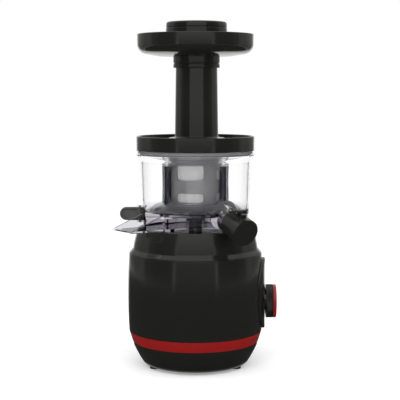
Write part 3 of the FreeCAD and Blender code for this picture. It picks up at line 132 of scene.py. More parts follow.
def studio_card(name, first, last, radius, low, high, strengths):
    """An upright card bent round the appliance: x = R sin a, y = -R cos a, a from first to
    last degrees off the camera's side; it glows by the listed low and high strengths."""
    angle = np.radians(np.linspace(first, last, 17))
    level = np.array([low, high])
    grid = np.stack([np.broadcast_to(radius * np.sin(angle)[:, None], (17, 2)),
                     np.broadcast_to(-radius * np.cos(angle)[:, None], (17, 2)),
                     np.broadcast_to(level[None, :], (17, 2))], -1)
    faces = [(2 * n, 2 * n + 1, 2 * n + 3, 2 * n + 2) for n in range(16)]
    card = shown(name, from_faces(name, grid, faces))
    card.visible_camera = False
    card.visible_diffuse = False
    card.visible_shadow = False
    paint = bpy.data.materials.new(name)
    paint.use_nodes = True
    nodes = paint.node_tree.nodes
    nodes.remove(nodes["Principled BSDF"])
    glow = nodes.new("ShaderNodeEmission")
    place = nodes.new("ShaderNodeTexCoord")
    split = nodes.new("ShaderNodeSeparateXYZ")
    fade = nodes.new("ShaderNodeMapRange")
    fade.interpolation_type = "SMOOTHSTEP"
    fade.inputs["From Min"].default_value = low
    fade.inputs["From Max"].default_value = high
    fade.inputs["To Min"].default_value = strengths[0]
    fade.inputs["To Max"].default_value = strengths[1]
    paint.node_tree.links.new(place.outputs["Object"], split.inputs[0])
    paint.node_tree.links.new(split.outputs["Z"], fade.inputs["Value"])
    paint.node_tree.links.new(fade.outputs["Result"], glow.inputs["Strength"])
    paint.node_tree.links.new(glow.outputs[0], nodes["Material Output"].inputs["Surface"])
    card.data.materials.append(paint)
    return card


studio_card("front_panel", -33, 33, 0.95, -0.02, 0.75, (0.20, 0.95)).visible_transmission = False
for side, name in ((-1, "left"), (1, "right")):
    studio_card(name + "_flag", *sorted((36 * side, 76 * side)), 1.0, -0.02, 1.1, (0.03, 0.14))
    studio_card(name + "_fade", *sorted((76 * side, 92 * side)), 1.0, -0.02, 1.1, (0.10, 0.30))
    studio_card(name + "_glow", *sorted((92 * side, 108 * side)), 1.0, -0.02, 1.1, (0.35, 0.70))
    studio_card(name + "_rear", *sorted((108 * side, 152 * side)), 1.0, -0.02, 1.1,
                (0.20, 0.80)).visible_transmission = False
    studio_card(name + "_glass_flag", *sorted((100 * side, 150 * side)), 0.99, -0.02, 0.9,
                (0.01, 0.03)).visible_glossy = False


def floor_card(name, inner, outer, strength):
    """A flat ring just over the worktop, seen only in gloss: x = r sin a, y = -r cos a."""
    angle = np.radians(np.linspace(-150, 150, 41))[:, None]
    radius = np.array([inner, outer])[None, :]
    flat = 0.002 + 0 * radius * angle
    grid = np.stack([radius * np.sin(angle), -radius * np.cos(angle), flat], -1)
    faces = [(2 * n, 2 * n + 1, 2 * n + 3, 2 * n + 2) for n in range(40)]
    card = shown(name, from_faces(name, grid, faces))
    for ray in ("camera", "diffuse", "shadow", "transmission"):
        setattr(card, "visible_" + ray, False)
    card.data.materials.append(bpy.data.materials["front_panel"].copy())
    fade = card.data.materials[0].node_tree.nodes["Map Range"]
    fade.inputs["To Min"].default_value = strength
    fade.inputs["To Max"].default_value = strength


floor_card("floor_card", 0.066, 0.93, 0.05)


# Rubber feet and bottom shell
# Four moulded rubber feet are pressed into a black ABS cup with a vented floor, screwed to
# the barrel from below. All plastics share one effect: mould grain, flow shade and shine.
def effect(name, inputs, outputs):
    """An empty shader node group with the named inputs and outputs."""
    group = bpy.data.node_groups.new(name, "ShaderNodeTree")
    for label, kind, value in inputs:
        group.interface.new_socket(label, in_out="INPUT", socket_type=kind).default_value = value
    for label, kind in outputs:
        group.interface.new_socket(label, in_out="OUTPUT", socket_type=kind)
    return group, group.nodes.new("NodeGroupInput"), group.nodes.new("NodeGroupOutput")


def noise(tree, place, scale, detail):
    """A cloud of values on the object's own coordinates."""
    cloud = tree.nodes.new("ShaderNodeTexNoise")
    cloud.inputs["Scale"].default_value = scale
    cloud.inputs["Detail"].default_value = detail
    tree.links.new(place, cloud.inputs["Vector"])
    return cloud


skin, skin_in, skin_out = effect("moulded_skin", [
    ("Colour", "NodeSocketColor", (0.5, 0.5, 0.5, 1)), ("Shade", "NodeSocketColor", (0.4, 0.4, 0.4, 1)),
    ("Roughness", "NodeSocketFloat", 0.2), ("Spread", "NodeSocketFloat", 0.05),
    ("Grain", "NodeSocketFloat", 900.0)], [
    ("Colour", "NodeSocketColor"), ("Roughness", "NodeSocketFloat"), ("Height", "NodeSocketFloat")])
where = skin.nodes.new("ShaderNodeTexCoord").outputs["Object"]
flow = noise(skin, where, 18.0, 3.0)
handled = noise(skin, where, 55.0, 4.0)
pores = noise(skin, where, 900.0, 2.0)
skin.links.new(skin_in.outputs["Grain"], pores.inputs["Scale"])
tone = skin.nodes.new("ShaderNodeMix")
tone.data_type = "RGBA"
skin.links.new(flow.outputs["Fac"], tone.inputs["Factor"])
skin.links.new(skin_in.outputs["Colour"], tone.inputs["A"])
skin.links.new(skin_in.outputs["Shade"], tone.inputs["B"])
skin.links.new(tone.outputs["Result"], skin_out.inputs["Colour"])
shine = skin.nodes.new("ShaderNodeMath")
shine.operation = "MULTIPLY_ADD"
skin.links.new(handled.outputs["Fac"], shine.inputs[0])
skin.links.new(skin_in.outputs["Spread"], shine.inputs[1])
skin.links.new(skin_in.outputs["Roughness"], shine.inputs[2])
skin.links.new(shine.outputs[0], skin_out.inputs["Roughness"])
skin.links.new(pores.outputs["Fac"], skin_out.inputs["Height"])


def moulded(name, colour, shade, roughness, spread=0.05, grain=900.0, depth=0.00001, **sockets):
    """A moulded plastic or rubber: the shared skin feeds colour, roughness and a fine bump."""
    paint = bpy.data.materials.new(name)
    paint.use_nodes = True
    tree = paint.node_tree
    body = tree.nodes["Principled BSDF"]
    group = tree.nodes.new("ShaderNodeGroup")
    group.node_tree = skin
    group.inputs["Colour"].default_value = (*colour, 1)
    group.inputs["Shade"].default_value = (*shade, 1)
    group.inputs["Roughness"].default_value = roughness
    group.inputs["Spread"].default_value = spread
    group.inputs["Grain"].default_value = grain
    bump = tree.nodes.new("ShaderNodeBump")
    bump.inputs["Distance"].default_value = depth
    tree.links.new(group.outputs["Colour"], body.inputs["Base Color"])
    tree.links.new(group.outputs["Roughness"], body.inputs["Roughness"])
    tree.links.new(group.outputs["Height"], bump.inputs["Height"])
    tree.links.new(bump.outputs["Normal"], body.inputs["Normal"])
    for label, value in sockets.items():
        body.inputs[label.replace("_", " ")].default_value = value
    return paint


def finish(material, *names):
    """Gives carried-over CAD nodes a finish, in every slot that their object has."""
    for name in names:
        for place in node[name].material_slots:
            place.link = "OBJECT"
            place.material = material


black_gloss = moulded("black_gloss", (0.0125, 0.0135, 0.0105), (0.0105, 0.0112, 0.0088), 0.13, 0.05,
                      1100.0, 0.000006, Specular_IOR_Level=0.42)
foot_rubber = moulded("foot_rubber", (0.035, 0.036, 0.034), (0.022, 0.022, 0.021), 0.62, 0.15,
                      700.0, 0.00003, Specular_IOR_Level=0.3)
finish(foot_rubber, "rubber_feet")
finish(black_gloss, "bottom_shell")


# Red trim band
# A glossy red ABS hoop clamped between the cup and the barrel; its edges are eased, so a
# thin bright line runs along the upper one.
def eased(corners, steps=5):
    """A closed outline of (across, up) corners in millimetres. A third number eases the
    corner: a quadratic curve that leaves one side and joins the other that far from it."""
    line = []
    count = len(corners)
    for n, corner in enumerate(corners):
        here = np.array(corner[:2], float)
        if len(corner) == 2:
            line.append(here)
            continue
        before = np.array(corners[n - 1][:2], float) - here
        after = np.array(corners[(n + 1) % count][:2], float) - here
        reach = min(corner[2], 0.48 * np.linalg.norm(before), 0.48 * np.linalg.norm(after))
        start = here + before / np.linalg.norm(before) * reach
        end = here + after / np.linalg.norm(after) * reach
        t = np.linspace(0, 1, steps)[:, None]
        line.extend((1 - t) ** 2 * start + 2 * t * (1 - t) * here + t ** 2 * end)
    return np.array(line)


def smooth_solid(name, mesh, crease=32.0):
    """Closes seams and poles, turns the faces outwards, and shades smooth up to a crease."""
    shell = bmesh.new()
    shell.from_mesh(mesh)
    bmesh.ops.remove_doubles(shell, verts=shell.verts, dist=1e-6)
    bmesh.ops.dissolve_degenerate(shell, edges=shell.edges, dist=1e-7)
    bmesh.ops.recalc_face_normals(shell, faces=shell.faces)
    shell.to_mesh(mesh)
    shell.free()
    mesh.polygons.foreach_set("use_smooth", np.ones(len(mesh.polygons), bool))
    mesh.set_sharp_from_angle(angle=math.radians(crease))
    return shown(name, mesh)


def looped(name, grid, crease=32.0):
    """A solid from a grid of points in millimetres that closes on itself both ways."""
    rows, columns = grid.shape[:2]
    index = np.arange(rows * columns).reshape(rows, columns)
    index = np.vstack([index, index[:1]])
    index = np.hstack([index, index[:, :1]])
    quads = np.stack([index[:-1, :-1], index[:-1, 1:], index[1:, 1:], index[1:, :-1]], -1)
    return smooth_solid(name, from_faces(name, grid * 0.001, quads.reshape(-1, 4).tolist()), crease)


def turned(name, line, centre=(0.0, 0.0), count=176, crease=32.0):
    """An outline of (radius, height) carried round an upright axis: x = cx + r cos t,
    y = cy + r sin t, z = height, t from 0 to a full turn."""
    line = np.asarray(line, float)
    t = np.linspace(0, 2 * np.pi, count, endpoint=False)[:, None]
    grid = np.stack([centre[0] + line[:, 0] * np.cos(t), centre[1] + line[:, 0] * np.sin(t),
                     line[:, 1] + 0 * t], -1)
    return looped(name, grid, crease)


def placed(piece, material, body, slot, *nodes):
    """Gives a piece its finish and its body, and hides the CAD nodes that it stands for; slot is not used.
    """
    piece.data.materials.append(material)
    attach(piece, body)
    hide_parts(*nodes)
    return piece


red_gloss = moulded("red_gloss", (0.30, 0.006, 0.005), (0.25, 0.004, 0.004), 0.2, 0.06,
                    1000.0, 0.000006, Coat_Weight=0.08, Coat_Roughness=0.1)
shell_top = 30.6
ring_top = 43.8
ring_radius = 81.6
ring_line = eased([(71.2, shell_top), (77.4, shell_top, 0.9), (ring_radius, ring_top, 1.1),
                   (71.2, ring_top)])
placed(turned("trim_band", ring_line), red_gloss, "base", "red_plastic",
       "red_trim_ring")


# Barrel and control panel
# The motor housing: one gloss black moulding that swells a little at its waist, with a
# raised oval panel on the side that carries the knob.
def bowed(start, end, radius, count=14):
    """Corners on a shallow bow between two corners: chord + left normal * 4 t (1 - t) * rise,
    where rise is the height of an arc of that radius; a negative radius bows to the right."""
    start, end = np.array(start, float), np.array(end, float)
    chord = end - start
    half = np.linalg.norm(chord) / 2
    rise = (abs(radius) - math.sqrt(radius * radius - half * half)) * (1 if radius > 0 else -1)
    left = np.array([-chord[1], chord[0]]) / (2 * half)
    t = np.linspace(0, 1, count + 2)[1:-1, None]
    return [tuple(p) for p in start + chord * t + left * rise * 4 * t * (1 - t)]


barrel_top = 139.6
barrel_radius = 81.4
barrel_line = eased([(78.4, ring_top), (ring_radius, ring_top, 0.8)]
                    + bowed((ring_radius, ring_top), (barrel_radius, barrel_top), -690, 30)
                    + [(barrel_radius, barrel_top, 0.5), (78.4, barrel_top)])
placed(turned("barrel", barrel_line, count=200), black_gloss, "base", "black_plastic", "motor_housing")


def oval_panel(name, half_width, low, high, face, back, round_edge):
    """A raised oval laid on a round barrel. The outline is two half circles joined by straight
    sides; its points slide in to the middle line while the radius follows an eased edge,
    and x = sqrt(radius^2 - y^2) wraps it round the barrel."""
    turn = np.linspace(0, 2 * np.pi, 160, endpoint=False)
    middle = np.where(np.sin(turn) >= 0, high - half_width, low + half_width)
    edge = np.linspace(0, np.pi / 2, 7)
    inset = np.concatenate([[half_width, 0.3, 0.0], round_edge * (1 - np.cos(edge)),
                            np.linspace(round_edge, half_width, 12)[1:]])
    radius = np.concatenate([[back, back, back + 0.5], face - round_edge * (1 - np.sin(edge)),
                             np.full(11, face)])
    reach = half_width - inset[:, None]
    y = reach * np.cos(turn)
    z = middle + reach * np.sin(turn)
    x = np.sqrt(radius[:, None] ** 2 - y ** 2)
    return looped(name, np.stack([x, y, z], -1), 40.0)


placed(oval_panel("control_panel", 34.0, 45.5, 133.0, 85.5, 79.5, 1.3), black_gloss, "base",
       "black_plastic", "motor_housing")


# Top cover
# The rounded shoulder and the deck that the bowl stands on, one black moulding pressed into
# the barrel; a fine gap under its edge catches the light.
deck_top = 170.8
cover_line = eased([(12, 169.2), (66, 169.2), (66, deck_top, 0.3), (69.9, deck_top, 1.4)]
                   + bowed((69.9, deck_top), (76.5, 145.4), 120, 12)
                   + [(76.5, 145.4, 1.6), (81.3, 139.75, 0.9), (78.1, 139.6), (78.1, 131.6), (75.1, 131.6),
                      (75.1, 139.0), (73.4, 145.4), (66.0, 165.3), (12, 165.3)])
placed(turned("top_cover_shell", cover_line, count=200), black_gloss, "base", "black_plastic", "top_cover")


# Control knob
# A round grip with fine flutes for the fingers, a red ring pressed on its front edge and a
# small pointer on its sunk face; it turns on a spindle that points to the side.
def turned_sideways(name, line, height, count, flutes=0, depth=0.0, fluted=None, crease=32.0):
    """An outline of (radius, distance) carried round a level axis along X at that height.
    Where the mask says so, the radius dips by depth * (1 - cos(flutes * t)) / 2."""
    line = np.asarray(line, float)
    t = np.linspace(0, 2 * np.pi, count, endpoint=False)[:, None]
    dip = 0 if fluted is None else fluted * depth * (1 - np.cos(flutes * t)) / 2
    radius = line[:, 0] - dip
    grid = np.stack([line[:, 1] + 0 * t, radius * np.cos(t), height + radius * np.sin(t)], -1)
    return looped(name, grid, crease)


knob_axis = 78.5
knob_line = eased([(0, 90.0), (17.5, 90.0), (17.5, 86.4), (20.5, 86.4, 0.7), (20.5, 87.6), (20.5, 89.5),
                   (20.5, 92.0), (20.5, 94.2), (20.5, 95.1, 0.3), (16.0, 95.1), (16.0, 98.0, 0.5),
                   (0, 98.0)])
grip = (knob_line[:, 0] > 20.2) & (knob_line[:, 1] > 87.0) & (knob_line[:, 1] < 94.6)
placed(turned_sideways("knob_grip", knob_line, knob_axis, 512, 64, 0.7, grip), black_gloss, "knob",
       "black_plastic", "control_knob")
band_line = eased([(16, 95.2), (20.5, 95.2, 0.4), (20.5, 99.2, 1.2), (16, 99.2, 0.6)])
placed(turned_sideways("knob_band", band_line, knob_axis, 160), red_gloss, "knob", "red_plastic",
       "knob_ring")


def raised_bar(name, x, y_half, low, high, painted_shade_fade):
    """A flat bar with round ends on a face square to X: a half circle at each end, an eased
    rim, and both faces closed along the middle line."""
    turn = np.linspace(0, 2 * np.pi, 48, endpoint=False)
    middle = np.where(np.sin(turn) >= 0, high - y_half, low + y_half)
    reach = np.array([0.0, 1.0, 1.0, 0.85, 0.0])[:, None] * y_half
    out = np.array([0.0, 0.0, 0.7, 1.0, 1.0])[:, None] * painted_shade_fade
    grid = np.stack([x + out + 0 * turn, reach * np.cos(turn), middle + reach * np.sin(turn)], -1)
    return looped(name, grid)


mark_white = moulded("mark_white", (0.72, 0.72, 0.70), (0.66, 0.66, 0.64), 0.35)
pointer = raised_bar("knob_pointer", 97.9, 0.9, 86.0, 92.5, 0.5)
pointer.data.materials.append(mark_white)
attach(pointer, "knob")


# Motor, gearbox and electrics
# Inside the closed base: pressed steel, cast brackets, copper windings, sintered gears and
# a glass-fibre board. Metals share one effect: fine drawn lines and a patchy shine.
drawn, drawn_in, drawn_out = effect("drawn_metal", [
    ("Colour", "NodeSocketColor", (0.6, 0.6, 0.6, 1)), ("Shade", "NodeSocketColor", (0.5, 0.5, 0.5, 1)),
    ("Roughness", "NodeSocketFloat", 0.3), ("Spread", "NodeSocketFloat", 0.15)], [
    ("Colour", "NodeSocketColor"), ("Roughness", "NodeSocketFloat"), ("Height", "NodeSocketFloat")])
stretch = drawn.nodes.new("ShaderNodeMapping")
stretch.inputs["Scale"].default_value = (1.0, 1.0, 14.0)
drawn.links.new(drawn.nodes.new("ShaderNodeTexCoord").outputs["Object"], stretch.inputs["Vector"])
lines = noise(drawn, stretch.outputs["Vector"], 160.0, 3.0)
tone = drawn.nodes.new("ShaderNodeMix")
tone.data_type = "RGBA"
drawn.links.new(lines.outputs["Fac"], tone.inputs["Factor"])
drawn.links.new(drawn_in.outputs["Colour"], tone.inputs["A"])
drawn.links.new(drawn_in.outputs["Shade"], tone.inputs["B"])
drawn.links.new(tone.outputs["Result"], drawn_out.inputs["Colour"])
shine = drawn.nodes.new("ShaderNodeMath")
shine.operation = "MULTIPLY_ADD"
drawn.links.new(lines.outputs["Fac"], shine.inputs[0])
drawn.links.new(drawn_in.outputs["Spread"], shine.inputs[1])
drawn.links.new(drawn_in.outputs["Roughness"], shine.inputs[2])
drawn.links.new(shine.outputs[0], drawn_out.inputs["Roughness"])
drawn.links.new(lines.outputs["Fac"], drawn_out.inputs["Height"])


def metal(name, colour, shade, roughness, spread=0.15, depth=0.00001):
    """A drawn or turned metal on the shared metal effect."""
    paint = bpy.data.materials.new(name)
    paint.use_nodes = True
    tree = paint.node_tree
    body = tree.nodes["Principled BSDF"]
    body.inputs["Metallic"].default_value = 1.0
    group = tree.nodes.new("ShaderNodeGroup")
    group.node_tree = drawn
    group.inputs["Colour"].default_value = (*colour, 1)
    group.inputs["Shade"].default_value = (*shade, 1)
    group.inputs["Roughness"].default_value = roughness
    group.inputs["Spread"].default_value = spread
    bump = tree.nodes.new("ShaderNodeBump")
    bump.inputs["Distance"].default_value = depth
    tree.links.new(group.outputs["Colour"], body.inputs["Base Color"])
    tree.links.new(group.outputs["Roughness"], body.inputs["Roughness"])
    tree.links.new(group.outputs["Height"], bump.inputs["Height"])
    tree.links.new(bump.outputs["Normal"], body.inputs["Normal"])
    return paint


steel = metal("turned_steel", (0.60, 0.60, 0.59), (0.46, 0.46, 0.45), 0.22)
finish(steel, "base_screws", "switch_nut", "gearbox_base_plate", "gearbox_cover_plate", "gearbox_posts",
       "first_gear_axle", "second_gear_axle", "output_bearing", "motor_stator", "motor_bearings",
       "motor_bolts", "motor_pinion", "motor_shaft", "motor_rotor", "first_reduction_gear",
       "second_reduction_gear", "output_gear", "drive_shaft", "knob_spindle", "idler_gear_pin",
       "cap_hinge_pin", "lever_pin", "auger_gear")
finish(metal("cast_aluminium", (0.58, 0.58, 0.58), (0.48, 0.48, 0.48), 0.4), "lower_motor_bracket",
       "upper_motor_bracket")
finish(metal("copper_wire", (0.62, 0.24, 0.10), (0.48, 0.16, 0.06), 0.3, 0.2, 0.0001), "motor_windings")
white_plastic = moulded("white_plastic", (0.62, 0.61, 0.58), (0.55, 0.54, 0.51), 0.38)
inner_plastic = moulded("inner_plastic", (0.30, 0.30, 0.29), (0.24, 0.24, 0.23), 0.45)
finish(white_plastic, "run_capacitor", "idler_gear")
finish(inner_plastic, "interlock_switch", "rotary_switch", "board_spacers", "cooling_fan",
       "interlock_plunger")
finish(moulded("board_green", (0.02, 0.12, 0.05), (0.015, 0.09, 0.04), 0.3), "circuit_board")
finish(foot_rubber, "cable_gland")


# Bowl and its seals
# A clear copolyester moulding: thin wall with a stepped rim, raised juice floor, a chute for
# the pulp at the left and the spout at the right. Its colour turns grey from 200 mm down to
# 190 mm up, painted shade at its foot under the cage, and silicone rings seal the shaft and the cap.
clear_bowl = moulded("clear_bowl", (1.0, 1.0, 1.0), (0.995, 0.995, 0.998), 0.01, 0.015, 500.0,
                     0.000002, Transmission_Weight=1.0, IOR=1.2)
tree = clear_bowl.node_tree
height = tree.nodes.new("ShaderNodeSeparateXYZ")
tree.links.new(tree.nodes.new("ShaderNodeTexCoord").outputs["Object"], height.inputs[0])
# Painted shade: below 200 mm the bowl's colour fades to grey, and it is fully grey at 190 mm.
painted_shade_top = 0.200
painted_shade_bottom = 0.190
painted_shade_fade = tree.nodes.new("ShaderNodeMapRange")
painted_shade_fade.inputs["From Min"].default_value = painted_shade_top
painted_shade_fade.inputs["From Max"].default_value = painted_shade_bottom
tree.links.new(height.outputs["Z"], painted_shade_fade.inputs["Value"])
# The grey of the painted shade at the bowl's foot.
painted_shade_tint = tree.nodes.new("ShaderNodeMix")
painted_shade_tint.data_type = "RGBA"
painted_shade_tint.inputs["B"].default_value = (0.66, 0.65, 0.68, 1)
tree.links.new(painted_shade_fade.outputs["Result"], painted_shade_tint.inputs["Factor"])
tree.links.new(tree.nodes["Group"].outputs["Colour"], painted_shade_tint.inputs["A"])
tree.links.new(painted_shade_tint.outputs["Result"], tree.nodes["Principled BSDF"].inputs["Base Color"])
finish(clear_bowl, "juice_bowl")
silicone = moulded("silicone", (0.055, 0.057, 0.066), (0.042, 0.044, 0.052), 0.5, 0.12, 700.0, 0.00002)
finish(silicone, "cap_seal", "deck_shaft_seal")
pale_silicone = moulded("pale_silicone", (0.50, 0.50, 0.53), (0.44, 0.44, 0.47), 0.35, 0.1, 700.0, 0.00001,
                        Transmission_Weight=0.4, IOR=1.4)
finish(pale_silicone, "bowl_shaft_seal")


# Strainer
# A smoked frame, drum and dish in one, hangs from the bowl's rim. The drum has two rows of
# windows, with a belt between, over a stainless screen etched with rows of fine holes.
def window_edges(theta, centres, half_widths, low, high, power=5.0):
    """The lower and upper edge of a row of rounded windows at each angle: half the height times
    (1 - |u| ^ n) ^ (1 / n), where u is the angle off the nearest window in half widths."""
    middle = (low + high) / 2
    off = np.abs((theta[:, None] - np.array(centres)[None, :] + 180) % 360 - 180)
    share = np.clip((off / np.array(half_widths)).min(1), 0, 1)
    half = (high - low) / 2 * (1 - share ** power) ** (1 / power)
    return middle - half, middle + half


def banded(name, theta, bands, crease=32.0):
    """A windowed wall about Z, made of closed loops of (radius, height) at each angle. Where
    two loops meet between windows, their shared end faces are taken out, so it is one wall."""
    turn = np.radians(theta)
    points, faces, start = [], [], 0
    for band in bands:
        radius = np.stack([np.broadcast_to(r, theta.shape) for r, _ in band], 1)
        height = np.stack([np.broadcast_to(z, theta.shape) for _, z in band], 1)
        grid = np.stack([radius * np.cos(turn)[:, None], radius * np.sin(turn)[:, None], height], -1)
        rows, columns = radius.shape
        index = start + np.arange(rows * columns).reshape(rows, columns)
        index = np.vstack([index, index[:1]])
        index = np.hstack([index, index[:, :1]])
        quads = np.stack([index[:-1, :-1], index[:-1, 1:], index[1:, 1:], index[1:, :-1]], -1)
        points.append(grid.reshape(-1, 3))
        faces.append(quads.reshape(-1, 4))
        start += rows * columns
    points = np.concatenate(points) * 0.001
    faces = np.concatenate(faces)
    _, same = np.unique(np.round(points, 6), axis=0, return_inverse=True)
    keys = np.sort(same.ravel()[faces], axis=1)
    _, first, counts = np.unique(keys, axis=0, return_inverse=True, return_counts=True)
    kept = faces[counts[first.ravel()] == 1]
    return smooth_solid(name, from_faces(name, points, kept.tolist()), crease)


smoke = moulded("smoked_clear", (0.60, 0.595, 0.61), (0.55, 0.545, 0.56), 0.12, 0.05, 600.0, 0.000004,
                Transmission_Weight=0.6, IOR=1.5)
around = np.linspace(0, 360, 360, endpoint=False)
window_centres = [258.0 + 90.0 * n for n in range(4)]
low_sill, low_head = window_edges(around, window_centres, 30.0, 203.4, 214.2, 5.0)
top_sill, top_head = window_edges(around, window_centres, 30.0, 229.4, 248.7, 5.0)
drum_out = 34.0
drum_in = 31.8
neck = ([(drum_out, 249.2)] + bowed((drum_out, 249.2), (46.0, 254.0), 16, 8)
        + [(46.0, 254.0), (67.4, 258.8), (67.8, 259.2), (67.8, 260.6), (67.4, 260.9), (45.0, 256.0)]
        + bowed((45.0, 256.0), (drum_in, 250.6), -16, 8) + [(drum_in, 250.6)])
drum_foot = [(12.6, 200.0), (33.4, 200.0), (drum_out, 200.6), (drum_out, low_sill), (drum_in, low_sill),
             (drum_in, 202.0), (12.6, 202.0)]
drum_belt = [(drum_out, low_head), (drum_out, top_sill), (drum_in, top_sill), (drum_in, low_head)]
drum_neck = [(drum_out, top_head)] + neck + [(drum_in, top_head)]
placed(banded("strainer_drum", around, [drum_foot, drum_belt, drum_neck]), smoke, "bowl",
       "smoke_plastic", "strainer_frame")

etched, etched_in, etched_out = effect("etched_screen", [
    ("Rows", "NodeSocketFloat", 700.0)], [("Holes", "NodeSocketFloat")])
holes = etched.nodes.new("ShaderNodeTexVoronoi")
holes.feature = "F1"
holes.inputs["Randomness"].default_value = 0.0
etched.links.new(etched.nodes.new("ShaderNodeTexCoord").outputs["UV"], holes.inputs["Vector"])
etched.links.new(etched_in.outputs["Rows"], holes.inputs["Scale"])
sharp = etched.nodes.new("ShaderNodeMapRange")
sharp.inputs["From Min"].default_value = 0.20
sharp.inputs["From Max"].default_value = 0.30
etched.links.new(holes.outputs["Distance"], sharp.inputs["Value"])
etched.links.new(sharp.outputs["Result"], etched_out.inputs["Holes"])


def screen_tube(name, outer, inner, low, high, count=240):
    """A thin tube about Z with a UV map in metres along its own surface, so that the rows of
    etched holes keep their pitch round it: u = radius * t, v = height."""
    piece = turned(name, [(outer, low), (outer, high), (inner, high), (inner, low)], count=count)
    mesh = piece.data
    uv = mesh.uv_layers.new(name="along_screen")
    spots = np.empty(len(mesh.vertices) * 3)
    mesh.vertices.foreach_get("co", spots)
    spots = spots.reshape(-1, 3)
    corner = np.empty(len(mesh.loops), int)
    mesh.loops.foreach_get("vertex_index", corner)
    angle = np.arctan2(spots[:, 1], spots[:, 0]) % (2 * np.pi)
    u = angle[corner]
    sides = np.empty(len(mesh.polygons), int)
    mesh.polygons.foreach_get("loop_total", sides)
    face = np.repeat(np.arange(len(mesh.polygons)), sides)
    widest = np.zeros(len(mesh.polygons))
    np.maximum.at(widest, face, u)
    u = np.where((widest[face] > 6.0) & (u < 0.5), u + 2 * np.pi, u)
    uv.data.foreach_set("uv", np.stack([u * outer * 0.001, spots[corner, 2]], -1).ravel())
    return piece


screen_steel = metal("screen_steel", (0.90, 0.90, 0.89), (0.84, 0.84, 0.83), 0.42, 0.12)
tree = screen_steel.node_tree
tree.nodes["Principled BSDF"].inputs["Metallic"].default_value = 0.1
group = tree.nodes.new("ShaderNodeGroup")
group.node_tree = etched
group.inputs["Rows"].default_value = 900.0
tree.links.new(group.outputs["Holes"], tree.nodes["Principled BSDF"].inputs["Alpha"])
placed(screen_tube("etched_screen", 31.75, 31.0, 202.2, 249.6), screen_steel, "bowl", "steel",
       "strainer_screen")


# Brush cage, wipers and auger
# The cage turns round the strainer on a ring gear in its foot and drags three silicone
# wipers over the screen; the squeezing screw stands inside the drum.
cage_clear = moulded("cage_clear", (0.70, 0.695, 0.73), (0.64, 0.635, 0.67), 0.05, 0.04, 600.0, 0.000004,
                     Transmission_Weight=0.9, IOR=1.5)
around = np.linspace(0, 360, 480, endpoint=False)
cage_centres = [33.0, 147.0, 270.0]
cage_half_widths = [45.0, 45.0, 57.0]
sill, head = window_edges(around, cage_centres, cage_half_widths, 202.6, 247.4, 4.0)
tooth = 29.3 + 2.2 * np.clip(0.5 - 1.1 * np.cos(np.radians((around - 60.0) * 48)), 0, 1)
skirt = bowed((57.0, 192.9), (42.2, 201.0), -26, 10)
cage_foot = ([(tooth, 192.6), (40.2, 192.5), (55.5, 191.7), (56.8, 192.0), (57.0, 192.9)] + skirt
             + [(42.2, 201.0), (41.2, 201.8), (41.2, sill), (38.8, sill), (38.8, 199.0), (38.4, 198.5),
                (tooth, 198.5)])
cage_hoop = [(41.2, head), (41.2, 248.4), (40.8, 249.0), (39.2, 249.0), (38.8, 248.4), (38.8, head)]
placed(banded("turning_cage", around, [cage_foot, cage_hoop]), cage_clear, "brush", "smoke_plastic",
       "brush_cage")
wiper_navy = moulded("wiper_navy", (0.012, 0.014, 0.030), (0.009, 0.010, 0.022), 0.4, 0.1, 700.0, 0.00001)
finish(wiper_navy, "brush_wipers")
auger_grey = moulded("auger_grey", (0.34, 0.34, 0.36), (0.29, 0.29, 0.31), 0.28, 0.08)
finish(auger_grey, "auger")


# Spout collar and flip cap
# A black collar is pressed over the clear spout and carries the hinge of a cap with a
# rubber plug, which shuts the spout until it is flipped up.
finish(black_gloss, "spout_collar", "juice_cap")


# Pulp lever
# A smoke-black paddle on an upright pin beside the chute. Its front is sunk inside a raised
# rim, its far end is round, and an eyelet turns on the pin.
def paddle(name, pivot, half_height, level, reach, painted_shade_fade, rim, sunk):
    """A flat bar with a round far end and a square near end, upright, thick along Y. The
    outline is a half circle and two straight sides; it slides in by the listed insets."""
    turn = np.concatenate([np.full(9, np.pi / 2), np.linspace(np.pi / 2, 1.5 * np.pi, 49)[1:-1],
                           np.full(9, 1.5 * np.pi)])
    along = np.concatenate([np.linspace(reach - half_height, 0.5, 9), np.zeros(47),
                            np.linspace(0.5, reach - half_height, 9)])
    middle = half_height * 0.999
    inset = np.array([middle, 1.0, 0.3, 0.0, 0.0, 0.3, 1.0, rim, rim + 0.8, middle])
    depth = np.array([0.0, 0.0, 0.3, 1.0, painted_shade_fade - 1.0, painted_shade_fade - 0.3, painted_shade_fade, painted_shade_fade, painted_shade_fade - sunk,
                      painted_shade_fade - sunk])
    radius = half_height - inset[:, None]
    x = pivot[0] - reach + half_height + np.minimum(along, reach - half_height - inset[:, None] - 0.2)
    x = x + radius * np.cos(turn)
    z = level + half_height + radius * np.sin(turn)
    y = pivot[1] + painted_shade_fade / 2 - depth[:, None] + 0 * x
    return looped(name, np.stack([x, y, z], -1), 40.0)


smoke_black = moulded("smoke_black", (0.085, 0.085, 0.080), (0.070, 0.070, 0.066), 0.2, 0.06, 1000.0,
                      0.00001)
lever_pivot = (-68.666, 14.595)
placed(paddle("pulp_paddle", lever_pivot, 8.2, 177.2, 25.0, 5.0, 2.2, 1.1), smoke_black, "lever",
       "black_plastic", "pulp_lever")
eyelet = eased([(1.55, 177.2), (3.8, 177.2, 0.5), (3.8, 193.6, 0.5), (1.55, 193.6)])
placed(turned("pulp_lever_eyelet", eyelet, lever_pivot, 96), smoke_black, "lever", "black_plastic",
       "pulp_lever")


